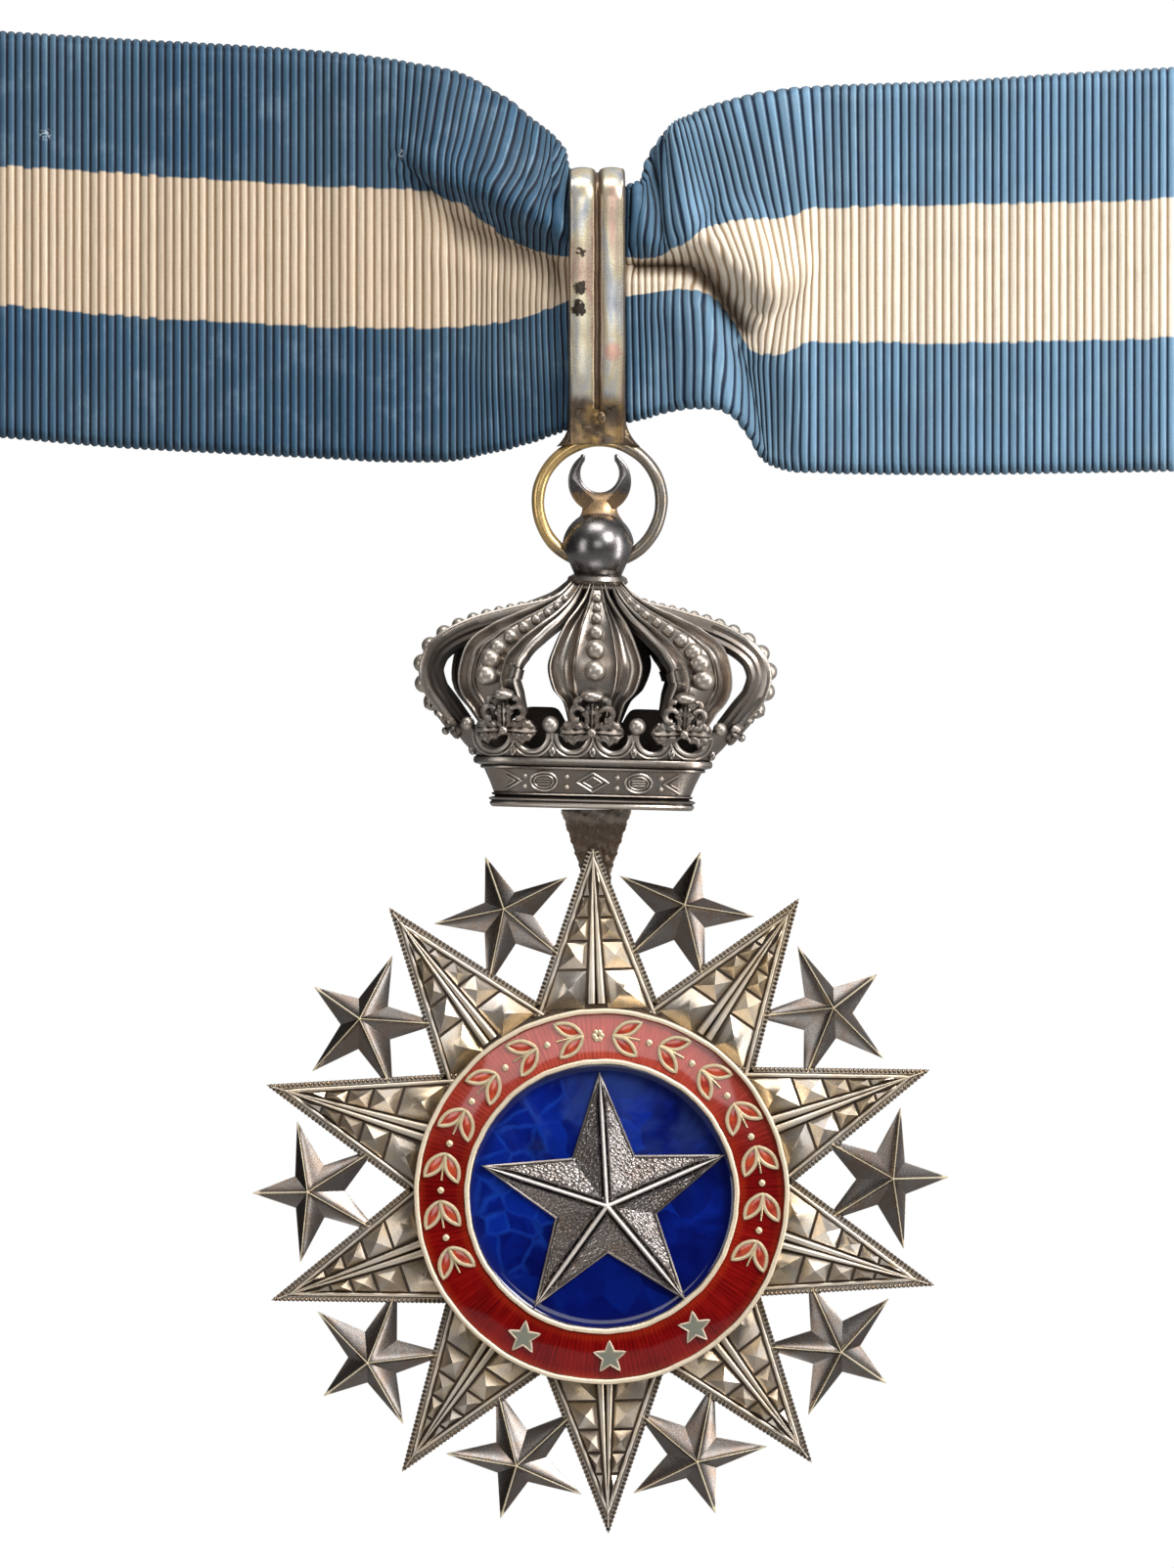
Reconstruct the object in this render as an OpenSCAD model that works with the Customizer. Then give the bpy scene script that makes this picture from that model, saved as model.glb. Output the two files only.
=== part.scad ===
// Neck badge of an order of merit, hung from a whole loop of ribbed ribbon.
// Millimetres, +Z up, front towards -Y, +X to the viewer's right. The origin is the middle of the neck
// loop, half-way up between the ribbon's front run and its back run.

/* [Neck loop] */
// Width of the ribbon across its three stripes
ribbon_w = 38; // [37:0.5:39]
// Thickness of the woven ribbon over its ribs
ribbon_t = 1; // [1:0.1:1.1]
// Width of the loop from side to side
loop_w = 154; // [150:1:164]
// Depth of the loop from throat to nape
loop_d = 110; // [104:1:124]
// Rise of the ribbon from throat to nape
loop_rise = 52; // [46:1:58]
// Lean of the ribbon's upper edge at the nape, in degrees
nape_lean = 15; // [0:1:18]
// Share of the way from a front end to the nape over which the ribbon climbs
climb_end = 0.64; // [0.6:0.02:0.7]

/* [Bail and ring] */
// Width of the folded strap
bail_w = 5.3; // [5:0.1:5.6]
// Depth of the folded strap from front to back
bail_depth = 6.6; // [6.4:0.1:7]
// Thickness of the strap's metal
strap_t = 0.8; // [0.6:0.1:0.9]
// Height of the strap's top above the ribbon's middle
bail_top = 9.8; // [9.6:0.1:10.2]
// Radius of the ring, to the middle of its wire
ring_r = 5.83; // [5.7:0.05:6]
// Thickness of the ring's wire
wire_d = 1.2; // [1:0.05:1.25]

/* [Finial] */
// Radius of the orb
orb_r = 3.4; // [3.3:0.05:3.5]
// Radius of the cross hole that the ring runs through
bore_r = 1.55; // [1.5:0.01:1.6]
// Outer radius of the crescent
crescent_r = 3; // [2.8:0.05:3.1]
// Thickness of the crescent
crescent_t = 1.1; // [0.9:0.1:1.4]

/* [Crown] */
// Lean of the crown to the viewer's right, in degrees
crown_lean = 1.4; // [0:0.1:2]
// Radial thickness of an arch
arch_t = 1.5; // [1.2:0.1:1.7]

/* [Star] */
// Radius of the star to the tips of its rays
star_r = 33; // [32.6:0.1:33.4]
// Radius of the valleys between the rays
valley_r = 18.4; // [18.2:0.1:18.7]
// Lean of the star to the viewer's left, in degrees
star_lean = 1.3; // [0:0.1:2]
// Distance of the small stars' peaks from the middle
small_orbit = 27.7; // [27.5:0.1:27.9]
// Height of a small star's peak over its rim
small_rise = 1.5; // [1.2:0.1:1.8]

/* [Medallion] */
// Outer radius of the medallion's rim
medal_r = 17.75; // [17.5:0.05:17.9]
// Inner radius of the inner rim
inner_rim_r = 12.45; // [12.3:0.05:12.6]
// Height of the rims above the star's plate
rim_h = 3; // [2.6:0.1:3.2]
// Radius of the centre star to its tips
centre_star_r = 11.9; // [11.5:0.1:12]
// Height of the centre star's ridges
centre_star_h = 2.7; // [2.2:0.1:3]

/* [Hidden] */

// Gap between pieces that lie on each other
gap = 0.03;
// Overlap of shapes that are one piece of metal
weld = 0.05;

// Middle of the front run, of the ring, the orb and the star, as [x, height] in the front plane
ring_at = [0, -21.83];
orb_at = [-0.14, -26.13];
// Height of the cross hole's axis over the orb's middle
bore_at = -1.07;
star_at = [0.07, -86.45];
medal_at = [0.18, -87.45];
bail_x = -0.25;

// Colours
silver = [0.62, 0.59, 0.55];
dark_silver = [0.36, 0.35, 0.34];
gilt = [0.76, 0.58, 0.32];
ribbon_blue = [0.23, 0.42, 0.62];
enamel_red = [0.62, 0.07, 0.04];
enamel_blue = [0.02, 0.05, 0.5];

// Outline of the ribbon's front run as it is gathered into the bail, a row for each section: x where it
// crosses the cream stripe's upper edge, then the heights of the top edge, of the stripe's two edges and
// of the bottom edge, then how far the top edge, the stripe's lower edge and the bottom edge stand
// towards +x of that x
OUTLINE = [
    [-57.6, 22.6, 10, -3.1, -15.5, 0, 0, 0],
    [-44.7, 21.8, 9.2, -4.3, -16.6, 0, 0, 0],
    [-35.4, 21.3, 8.6, -4.8, -17.1, 0, 0, 0],
    [-25.5, 20.6, 8, -5.3, -17.6, 0, 0, 0],
    [-19.7, 19.9, 7.8, -5.4, -17.9, 0.1, 0, 0],
    [-17.6, 19.5, 7.7, -5.4, -17.9, 0.2, 0.1, 0.1],
    [-16, 19.2, 7.6, -5.4, -17.9, 0.45, 0.4, 0.4],
    [-14.5, 18.8, 7.05, -5.3, -17.8, 0.9, 0.7, 0.7],
    [-12.9, 18.1, 6.7, -5.2, -17.5, 1.05, 0.7, 0.7],
    [-11.5, 17, 5.5, -5.05, -17.2, 1.55, 0.4, 0.5],
    [-10.4, 16.2, 4.7, -4.95, -17, 1.85, 0.2, 0.4],
    [-9.3, 14.9, 3.9, -4.8, -16.8, 2.3, 0.1, 0.4],
    [-8, 13.9, 3.2, -4.5, -16.4, 2.3, 0.1, 0.4],
    [-6.5, 12.9, 2.5, -4.1, -16, 2.05, 0.1, 0.4],
    [-5.2, 11.6, 2.1, -3.6, -15.5, 1.85, 0, 0.4],
    [-4.2, 10.5, 1.85, -3.3, -15.2, 1.05, 0, 0.3],
    [-3.4, 9.6, 1.65, -3, -14.9, 0.5, 0, 0.2],
    [-2.6, 8.2, 1.5, -2.7, -14.5, 0, 0, 0],
    [1.9, 7.9, 1.5, -2.3, -14.3, 0, 0, 0],
    [2.9, 8.2, 1.55, -2.25, -14.1, 0.2, 0, 0.2],
    [3.7, 8.5, 1.5, -2.15, -13.9, 0.15, 0, 0.3],
    [4.6, 9.2, 1.55, -2.05, -13.7, -0.45, 0, 0.2],
    [5.2, 10.2, 1.6, -1.95, -13.5, -0.85, 0, 0.15],
    [6, 11.7, 1.8, -1.85, -13.3, -0.85, 0, 0.1],
    [6.9, 12.9, 2.3, -1.8, -13.1, -0.85, 0.1, 0.15],
    [7.9, 13.6, 2.75, -1.9, -12.95, -1.3, 0.35, 0.4],
    [9.5, 14.2, 3.5, -2.85, -12.85, -2.1, 1.1, 0.85],
    [11, 14.6, 4, -5.1, -14, -2.6, 1.45, 1.95],
    [12.4, 15.2, 4.45, -6.9, -15.8, -2.75, 1.3, 1.85],
    [13.8, 15.7, 4.7, -7.5, -17.2, -2.8, 0.7, 1.2],
    [15.2, 16.1, 4.75, -7.75, -17.9, -2.75, 0.3, 0.4],
    [16.3, 16.5, 4.9, -7.85, -18.3, -2.4, 0.3, 0.1],
    [17.3, 16.8, 5, -7.8, -18.6, -2, 0.2, 0.05],
    [18.4, 17, 5.3, -7.3, -18.85, -1.6, 0.1, 0],
    [19.2, 17.2, 5.7, -6.9, -18.9, -1.15, 0, 0],
    [20.3, 17.3, 5.9, -6.75, -18.9, -0.7, 0, 0],
    [22.5, 17.45, 6.05, -6.7, -19, -0.2, 0, 0],
    [32.6, 17.8, 6.3, -6.8, -19.1, 0, 0, 0],
    [44, 18.55, 6.5, -6.6, -18.95, 0, 0, 0],
    [57.6, 19.3, 7, -6.2, -18.7, 0, 0, 0],
];
// Folds pressed into the front run, a row for each: the line that the fold follows, from x and height
// to x and height, how far it stands forward, its reach to the left and to the right of that line, and
// how far it runs out past its ends
FOLDS = [
    [-14.5, 9.2, -3.2, 4.2, 2.5, 8.5, 2.2, 6.5],
    [-12.5, 4.4, -2.9, 0.4, -1.5, 1.6, 4.2, 4.5],
    [-10.5, 18.8, -3.4, 12.8, -1.9, 3.2, 4.6, 5],
    [-7.5, -10.2, -2.9, -8.6, 0.7, 5.5, 5.5, 6],
    [5.4, 3.5, 8.4, 3.4, 1.9, 6.5, 2.1, 2.9],
    [11.4, 3, 15.9, -1.2, 2.9, 6.5, 2.3, 2.9],
    [3.4, 0.5, 7.4, 0.6, -1.3, 1.3, 2, 3],
    [10.4, -0.5, 13.4, -5, -1.9, 1.9, 2, 3],
    [5.2, 11.6, 6.2, 3.8, -1.6, 1, 2.4, 2.2],
    [7.3, 12.8, 7.9, 5, 0.9, 3.6, 1.1, 2.4],
    [9.6, -3.8, 12.2, -13.4, 1.6, 2, 6, 3],
    [14, -9.4, 15.8, -17, -1.1, 4.2, 1.7, 3],
];

// Arches of the crown, a row for each section from the top down: height above the band, distance from
// the crown's middle line to the side and to the front, and width
FRONT_ARCH = [
    [16.9, 0, 2.3, 1.4], [15.7, 0, 3.1, 2.3], [14.2, 0, 4.1, 4.0], [12.7, 0, 4.9, 6.1],
    [10.7, 0, 5.5, 7.5], [8.7, 0, 5.8, 8.8], [6.6, 0, 5.7, 7.8], [5.4, 0, 5.4, 5.8],
    [3.4, 0, 4.9, 4.8],
];
DIAGONAL_ARCH = [
    [16.7, 1.8, 1.7, 1.5], [15.2, 2.9, 2.9, 2.4], [13.9, 4.4, 3.6, 3.6], [12.7, 6.2, 4.1, 4.6],
    [11.2, 8.2, 4.5, 5.6], [9.4, 9.7, 4.7, 6.2], [7.4, 10.1, 4.7, 6.2], [5.4, 9.3, 4.5, 5.3],
    [3.4, 8.5, 4.3, 4.6],
];
SIDE_ARCH = [
    [16.5, 2.4, 0, 1.4], [15.2, 4.4, 0, 2.0], [14.4, 7.9, 0, 2.6], [13.4, 11.8, 0, 3.4],
    [11.9, 14.8, 0, 4.2], [10.2, 16.3, 0, 4.6], [8.2, 16.8, 0, 4.6], [6.2, 16.2, 0, 4.2],
    [4.4, 14.7, 0, 3.8], [2.6, 13.5, 0, 3.6],
];
// Section across an arch from edge to edge: share of its half width, then height over its face
ARCH_FACE = [[-1, -0.1], [-0.82, 0.3], [-0.5, -0.15], [0, 0.15], [0.5, -0.15], [0.82, 0.3], [1, -0.1]];
// Pearls on an arch from the foot up: share of the way up the arch, and radius
PEARLS = [[0.36, 0.92], [0.49, 0.84]];
// Band of the crown from the top down: height, half width, half depth
BAND = [
    [0.15, 11.2, 4.9], [-0.55, 11.2, 4.9], [-0.75, 10.65, 4.45], [-3.55, 9.4, 3.95],
    [-3.75, 9.7, 4.2], [-4.6, 9.4, 4.1],
];
// Pierced rim above the band, from the top down: height, half width, half depth
CORONET = [[3.6, 14.0, 5.3], [1.4, 12.3, 4.9], [0, 10.9, 4.6]];
// Height of the orb's middle above the band's top, and of the band's underside
orb_over_band = 20.12;
band_floor = -4.6;

// Rows of a ray's pyramids, as distances from the star's middle
ray_rows = [29.8, 27.5, 25.6, 23.4, 20.7, 17.0];
ray_count = 10;
// How far the top ray reaches over the hanger plate
top_ray = 31.8;
// Half of a small star's outline about its peak, as [outwards, sideways]; its two inner arms end in rays
SMALL_STAR = [[5.25, 0], [1.15, 1.5], [0.85, 6.7], [-1.55, 2.45], [-5.69, 3.72], [-6.04, 3.28], [-3.5, 0]];
small_back = -1.3;
small_edge = -0.45;
plate_back = -1.5;
plate_front = -0.5;
edge_strip = 1.0;

// Thickness of the medallion's outer and inner rim
outer_wall = 0.5;
inner_wall = 0.8;

// Leaves on the red ring: the angle of the top one, the step between pairs, and pairs on each side
leaf_step = 17;
leaf_pairs = 7;
ring_star_angles = [239.8, 271.6, 304.1];

// Sides of the crown's band in plan, and of the round beads
oblong_sides = 20;
bead_sides = 10;

function mix(a, b, t) = a + (b - a) * t;
function bump(t) = abs(t) < 1 ? (1 + cos(180 * t)) / 2 : 0;
function unit(v) = v / norm(v);
function column(table, c, x) = lookup(x, [for (row = table) [row[0], row[c]]]);

// The front run: how far forward the cloth stands at x and height z
function fold_at(f, x, z) = let (
    run = norm([f[2] - f[0], f[3] - f[1]]),
    dir = [f[2] - f[0], f[3] - f[1]] / run,
    along = (x - f[0]) * dir[0] + (z - f[1]) * dir[1],
    across = (z - f[1]) * dir[0] - (x - f[0]) * dir[1],
    past = max(0, -along, along - run)
) f[4] * bump(past / f[7]) * bump(across / (across > 0 ? f[5] : f[6]));
function fold_sum(x, z, n = 0) = n == len(FOLDS) ? 0 : fold_at(FOLDS[n], x, z) + fold_sum(x, z, n + 1);
function in_bail(x) = bump(max(0, abs(x - bail_x) - bail_w / 2) / 1.2);
function held(d, x) = mix(d, max(-1.35, min(1.35, 0.55 * d)), in_bail(x));
// A point of the front run: x of the section, v across the ribbon from the top edge, 0, to the bottom, 1
function front_point(x, v) = let (
    k = ribbon_w / 38,
    edge = [for (c = [1:4]) k * column(OUTLINE, c, x)],
    band = min(2, floor(v * 3)),
    z = mix(edge[band], edge[band + 1], v * 3 - band),
    side = [column(OUTLINE, 5, x), 0, column(OUTLINE, 6, x), column(OUTLINE, 7, x)],
    lean = mix(side[band], side[band + 1], v * 3 - band)
) [x + lean, -loop_d / 2 - held(fold_sum(x + lean, z), x), z - loop_rise / 2];

// The rest of the loop runs round a corner and half an oval, and climbs to the nape
corner_r = loop_w / 2 - OUTLINE[len(OUTLINE) - 1][0];
oval_d = loop_d - corner_r;
corner_steps = 5;
oval_steps = 10;
function side_plan(n) = n <= corner_steps
    ? let (a = 90 * n / corner_steps)
        [loop_w / 2 - corner_r + corner_r * sin(a), corner_r - corner_r * cos(a) - loop_d / 2, a]
    : let (a = 90 * (n - corner_steps) / oval_steps, w = loop_w / 2 * sin(a), d = oval_d * cos(a))
        [loop_w / 2 * cos(a), corner_r - loop_d / 2 + oval_d * sin(a), atan2(d, -w)];
side_stops = corner_steps + oval_steps;
function side_length(n) = n == 0 ? 0 : side_length(n - 1)
    + norm([side_plan(n)[0] - side_plan(n - 1)[0], side_plan(n)[1] - side_plan(n - 1)[1]]);
side_whole = side_length(side_stops);
// Height of the ribbon's middle and its slope at a share u of the way from a front end to the nape; the climb ends at
// climb_end of the way
function climbed(u) = min(1, u / climb_end);
function climb(u, start, slope) = let (w = climbed(u)) start + (loop_rise - start) * (3 * w * w - 2 * w * w * w)
    + slope * side_whole * climb_end * (w * w * w - 2 * w * w + w);
function climb_slope(u, start, slope) = let (w = climbed(u))
    (loop_rise - start) * 6 * (w - w * w) / side_whole / climb_end + slope * (3 * w * w - 4 * w + 1);
// A point of the side run; hand is 1 on the viewer's right and -1 on the left
function side_point(n, v, hand) = let (
    end_row = hand > 0 ? OUTLINE[len(OUTLINE) - 1] : OUTLINE[0],
    start = (end_row[1] + end_row[4]) / 2,
    plan = side_plan(n),
    u = side_length(n) / side_whole,
    rise = atan(climb_slope(u, start, hand > 0 ? 0.04 : 0.06)),
    lean = nape_lean * (3 * u * u - 2 * u * u * u),
    across = (0.5 - v) * ribbon_w,
    along = [cos(plan[2]), sin(plan[2]), 0],
    inward = [-sin(plan[2]), cos(plan[2]), 0],
    up = cos(lean) * (-sin(rise) * along + [0, 0, cos(rise)]) + sin(lean) * inward,
    at = [plan[0], plan[1], climb(u, start, hand > 0 ? 0.04 : 0.06) - loop_rise / 2] + across * up
) [hand * at[0], at[1], at[2]];

// Sections of the front run, close together at the bail
front_stops = [
    for (x = [-57.6, -51, -44.7, -40, -35.4, -30, -25.5, -22, -19.7, -17.8, -16]) x,
    for (x = [-14.8:1.1:-4.9]) x,
    for (x = [-4.3, -3.4, -2.6, -0.4, 1.9, 2.9, 3.8, 4.9]) x,
    for (x = [5.8:1.03:18.2]) x,
    for (x = [19.2, 21, 23.3, 27, 32.6, 38, 44, 50, 57.6]) x,
];
cloth_rows = 14;
function ribbon_middle() = [
    for (x = front_stops) [for (j = [0:cloth_rows]) front_point(x, j / cloth_rows)],
    for (n = [1:side_stops]) [for (j = [0:cloth_rows]) side_point(n, j / cloth_rows, 1)],
    for (n = [side_stops - 1:-1:1]) [for (j = [0:cloth_rows]) side_point(n, j / cloth_rows, -1)],
];
// Unit normal of the cloth, towards the neck
function cloth_normal(m, i, j) = let (
    n = len(m),
    along = m[(i + 1) % n][j] - m[(i + n - 1) % n][j],
    down = m[i][min(j + 1, cloth_rows)] - m[i][max(j - 1, 0)]
) unit(cross(along, down));

module ribbon()
{
    m = ribbon_middle();
    count = len(m);
    side = 2 * (cloth_rows + 1);
    points = [
        for (i = [0:count - 1]) for (face = [-1, 1])
            for (j = face < 0 ? [0:cloth_rows] : [cloth_rows:-1:0])
                m[i][j] + cloth_normal(m, i, j) * face * ribbon_t / 2
    ];
    color(ribbon_blue)
    polyhedron(points, [
        for (i = [0:count - 1]) for (k = [0:side - 1]) let (
            i2 = (i + 1) % count,
            k2 = (k + 1) % side,
            a = i * side + k,
            b = i * side + k2,
            c = i2 * side + k2,
            d = i2 * side + k
        ) each [[a, c, b], [a, d, c]]
    ], convexity = 8);
}

// Places what is drawn as [x, depth, height] about the middle of the ribbon's front run
module front_plane() translate([0, -loop_d / 2, -loop_rise / 2]) children();
// Turns a flat outline of x and height into a plate from depth a back to depth b, measured forwards
module plate(a, b) translate([0, -a, 0]) rotate([90, 0, 0]) linear_extrude(b - a) children();

// Strap seen from the side; inset shrinks it evenly
module strap_outline(inset, foot_half, foot)
{
    r = bail_depth / 2 - inset;
    top = bail_top - bail_depth / 2;
    translate([0, top]) circle(r, $fn = 64);
    polygon([[-r, top], [-r, -10.5], [-foot_half, foot], [foot_half, foot], [r, -10.5], [r, top]]);
}

module suspension_loop()
{
    flute = 0.35;
    color(silver) front_plane()
    {
        difference()
        {
            union()
            {
                translate([bail_x - bail_w / 2, 0, 0]) rotate([90, 0, 90])
                    linear_extrude(bail_w / 2 - flute) strap_outline(0, 0.9, -16);
                translate([bail_x + flute, 0, 0]) rotate([90, 0, 90])
                    linear_extrude(bail_w / 2 - flute) strap_outline(0, 0.9, -16);
                translate([bail_x - flute - weld, 0, 0]) rotate([90, 0, 90])
                    linear_extrude(2 * flute + 2 * weld) strap_outline(0.3, 0.7, -15.8);
            }
            translate([bail_x - bail_w, 0, 0]) rotate([90, 0, 90])
                linear_extrude(2 * bail_w) strap_outline(strap_t, 0.7, -14.95);
        }
        translate([0, 0, ring_at[1]]) rotate([90, 0, 0])
            rotate_extrude($fn = 96) translate([ring_r, 0]) circle(wire_d / 2, $fn = 24);
    }
}

module orb_finial()
{
    neck = [[-2, -3.9], [2, -3.9], [1.75, -2.3], [-1.75, -2.3]];
    color(dark_silver) front_plane()
    {
        difference()
        {
            union()
            {
                translate([orb_at[0], 0, orb_at[1]]) sphere(orb_r, $fn = 96);
                translate([0, 0, -19.9]) plate(-crescent_t / 2, crescent_t / 2) polygon(neck);
            }
            translate([-orb_r * 2, 0, orb_at[1] + bore_at]) rotate([0, 90, 0])
                cylinder(h = orb_r * 4, r = bore_r, $fn = 64);
        }
        translate([0, 0, -19.9]) plate(-crescent_t / 2, crescent_t / 2) difference()
        {
            circle(crescent_r, $fn = 96);
            translate([0, 0.65]) circle(1.62, $fn = 64);
            translate([-1.5, 0.65]) square([3, 4]);
            translate([-4, 2.35]) square([8, 2]);
        }
    }
}

// A closed shape over a list of flat rings, each a list of the same number of points, from the top down
module loft(rings)
{
    n = len(rings[0]);
    last = len(rings) - 1;
    polyhedron([for (r = rings) for (p = r) p], [
        [for (k = [0:n - 1]) n - 1 - k],
        for (i = [0:last - 1]) for (k = [0:n - 1]) let (
            k2 = (k + 1) % n,
            a = i * n + k,
            b = i * n + k2,
            c = (i + 1) * n + k2,
            d = (i + 1) * n + k
        ) each [[a, b, c], [a, c, d]],
        [for (k = [0:n - 1]) last * n + k]
    ], convexity = 6);
}
// Rounded oblong in plan at height z
function oblong(z, a, b, n) = [
    for (k = [0:n - 1]) let (t = 360 * k / n, c = cos(t), s = sin(t))
        [a * sign(c) * pow(abs(c), 0.74), b * sign(s) * pow(abs(s), 0.74), z]
];
// Open shell over a table of height, half width and half depth, with a straight inner wall
module shell_of(table, wall)
{
    top = table[0];
    foot = table[len(table) - 1];
    difference()
    {
        loft([for (r = table) oblong(r[0], r[1], r[2], oblong_sides)]);
        loft([
            oblong(top[0] + 0.1, top[1] - wall, top[2] - wall, oblong_sides),
            oblong(foot[0] - 0.1, foot[1] - wall, foot[2] - wall, oblong_sides)
        ]);
    }
}

// Middle of an arch's face at a section, with the directions across it and outwards
function arch_frame(rows, i, facing) = let (
    here = rows[i],
    before = rows[max(i - 1, 0)],
    after = rows[min(i + 1, len(rows) - 1)],
    along = unit([after[1] - before[1], -(after[2] - before[2]), after[0] - before[0]]),
    across = [cos(facing), sin(facing), 0],
    flat_across = unit(across - (across * along) * along)
) [[here[1], -here[2], here[0]], flat_across, unit(cross(flat_across, -along))];
function arch_ring(rows, i, facing) = let (
    f = arch_frame(rows, i, facing),
    w = rows[i][3] / 2
) concat(
    [for (p = ARCH_FACE) f[0] + f[1] * p[0] * w + f[2] * p[1]],
    [f[0] + f[1] * 0.8 * w - f[2] * arch_t, f[0] - f[1] * 0.8 * w - f[2] * arch_t]
);
module arch(rows, facing, bead)
{
    last = len(rows) - 1;
    loft([for (i = [0:last]) arch_ring(rows, i, facing)]);
    if (bead > 0) for (p = PEARLS)
    {
        stop = (1 - p[0]) * last;
        i = floor(stop);
        here = arch_frame(rows, i, facing);
        next = arch_frame(rows, i + 1, facing);
        translate(mix(here[0], next[0], stop - i)) sphere(p[1] * bead, $fn = bead_sides);
    }
}
// Leafy cross at the foot of an arch: a boss with a leaf to each side and one up
module fleuron(size)
{
    for (leaf = [[-2.1, -0.2, 1.1], [2.1, -0.2, 1.1], [0, 1.8, 1.0]])
        hull()
        {
            sphere(0.55 * size, $fn = 6);
            translate([leaf[0] * size, 0, leaf[1] * size]) sphere(leaf[2] * size, $fn = 6);
        }
}
module all_round(x, y, facing)
{
    for (sx = [-1, 1]) for (sy = [-1, 1]) translate([sx * x, sy * y, 0])
        rotate([0, 0, -sx * sy * facing]) children();
}

module crown()
{
    color(silver) front_plane()
    translate([orb_at[0], 0, orb_at[1]]) rotate([0, crown_lean, 0]) difference()
    {
        translate([0, 0, -orb_over_band])
        {
            for (back = [0, 180]) rotate([0, 0, back])
            {
                arch(FRONT_ARCH, 0, 1);
                for (hand = [-1, 1]) arch([for (r = DIAGONAL_ARCH) [r[0], hand * r[1], r[2], r[3]]],
                    hand * 26, 0.92);
                arch(SIDE_ARCH, 90, 0);
            }
            loft([for (r = [[17.4, 2.7], [16.2, 3.1], [15.6, 2.4]]) [
                for (k = [0:11]) [r[1] * cos(30 * k), r[1] * sin(30 * k), r[0]]
            ]]);
            shell_of(BAND, 0.8);
            translate([0, 0, band_floor]) linear_extrude(0.8)
                polygon([for (p = oblong(0, 9.2, 3.9, oblong_sides)) [p[0], p[1]]]);
            difference()
            {
                shell_of(CORONET, 0.9);
                for (x = [-9.4, -5.8, -2, 1.9, 5.6, 9.2]) translate([x, 0, 2.2]) intersection()
                {
                    rotate([90, 0, 0]) cylinder(r = 1.6, h = 20, center = true, $fn = 10);
                    translate([-2, -10, -2]) cube([4, 20, 2]);
                }
            }
            for (side = [-1, 1]) translate([-0.3, side * 5.15, 3.4]) fleuron(1);
            all_round(8.4, 4.8, 12) translate([0, 0, 3.4]) fleuron(0.95);
            for (side = [-1, 1]) translate([side * 13.4, 0, 3.4]) rotate([0, 0, 90]) fleuron(0.85);
            all_round(4.1, 5.1, 5) translate([0, 0, 3.3]) sphere(0.85, $fn = bead_sides);
            for (side = [-1, 1]) translate([0, side * 4.2, -2.15]) rotate([90, 0, 0])
            {
                linear_extrude(0.6, center = true) polygon([[-1.5, 0], [0, 0.9], [1.5, 0], [0, -0.9]]);
                for (x = [-4.6, 4.6]) translate([x, 0, 0]) scale([1.4, 1, 1])
                    cylinder(r = 0.85, h = 0.6, center = true, $fn = 10);
            }
        }
        sphere(orb_r + 2 * gap, $fn = 20);
    }
}

module hanger_plate()
{
    color(dark_silver) front_plane() plate(-2.6, plate_back - gap)
        polygon([[-3.7, -50.86], [3.05, -51.02], [1.15, -56.5], [0.8, -60], [-1.3, -60], [-1.85, -56.5]]);
}

module on_star() front_plane() translate([star_at[0], 0, star_at[1]]) rotate([0, -star_lean, 0])
    children();
module on_medal() front_plane() translate([medal_at[0], 0, medal_at[1]]) rotate([0, -star_lean, 0])
    children();

// Half width of a ray at distance t from the middle
tip_slope = valley_r * sin(18) / (star_r - valley_r * cos(18));
function ray_half(t) = (star_r - t) * tip_slope;
function rib_half(t) = 0.95 * (star_r - 0.6 - t) / (star_r - 17.2);
// Height of a ray's roof at distance x from its middle line
function roof(t, x) = plate_front + 0.15 + 0.75 * (1 - x / max(ray_half(t), 0.1)) * min(1, (star_r - t) / 6);
// A pyramid over the four corners, given as [x, t], in the frame of x, depth forwards and height
module pyramid(c, over)
{
    mid = (c[0] + c[1] + c[2] + c[3]) / 4;
    base = [for (p = c) [p[0], -(plate_front - weld), p[1]]];
    top = [for (p = c) [p[0], -roof(p[1], abs(p[0])), p[1]]];
    peak = [mid[0], -roof(mid[1], abs(mid[0])) - over, mid[1]];
    hull() polyhedron(concat(base, top, [peak]), [
        [0, 1, 2, 3], [0, 4, 5, 1], [1, 5, 6, 2], [2, 6, 7, 3], [3, 7, 4, 0],
        [4, 8, 5], [5, 8, 6], [6, 8, 7], [7, 8, 4]
    ]);
}
// Raised edge along one side of a ray, just inside the plate's outline and on past the valley
module raised_edge(hand)
{
    inset = 0.06;
    bevel = 0.1;
    t1 = star_r - 1.2;
    t0 = valley_r * cos(18) - 0.6;
    foot = [[0.45, t1], [inset, t1], [inset, t0], [0.6, t0]];
    top = plate_front + 0.46 + 0.04 * hand;
    rim = [[0.45 - bevel, t1], [inset + bevel, t1], [inset + bevel, t0], [0.6 - bevel, t0]];
    hull() polyhedron(concat(
        [for (p = foot) [hand * (ray_half(p[1]) - p[0]), -(plate_front - weld), p[1]]],
        [for (p = rim) [hand * (ray_half(p[1]) - p[0]), -top, p[1]]]
    ), [[0, 1, 2, 3], [7, 6, 5, 4], [0, 4, 5, 1], [1, 5, 6, 2], [2, 6, 7, 3], [3, 7, 4, 0]]);
}
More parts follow.
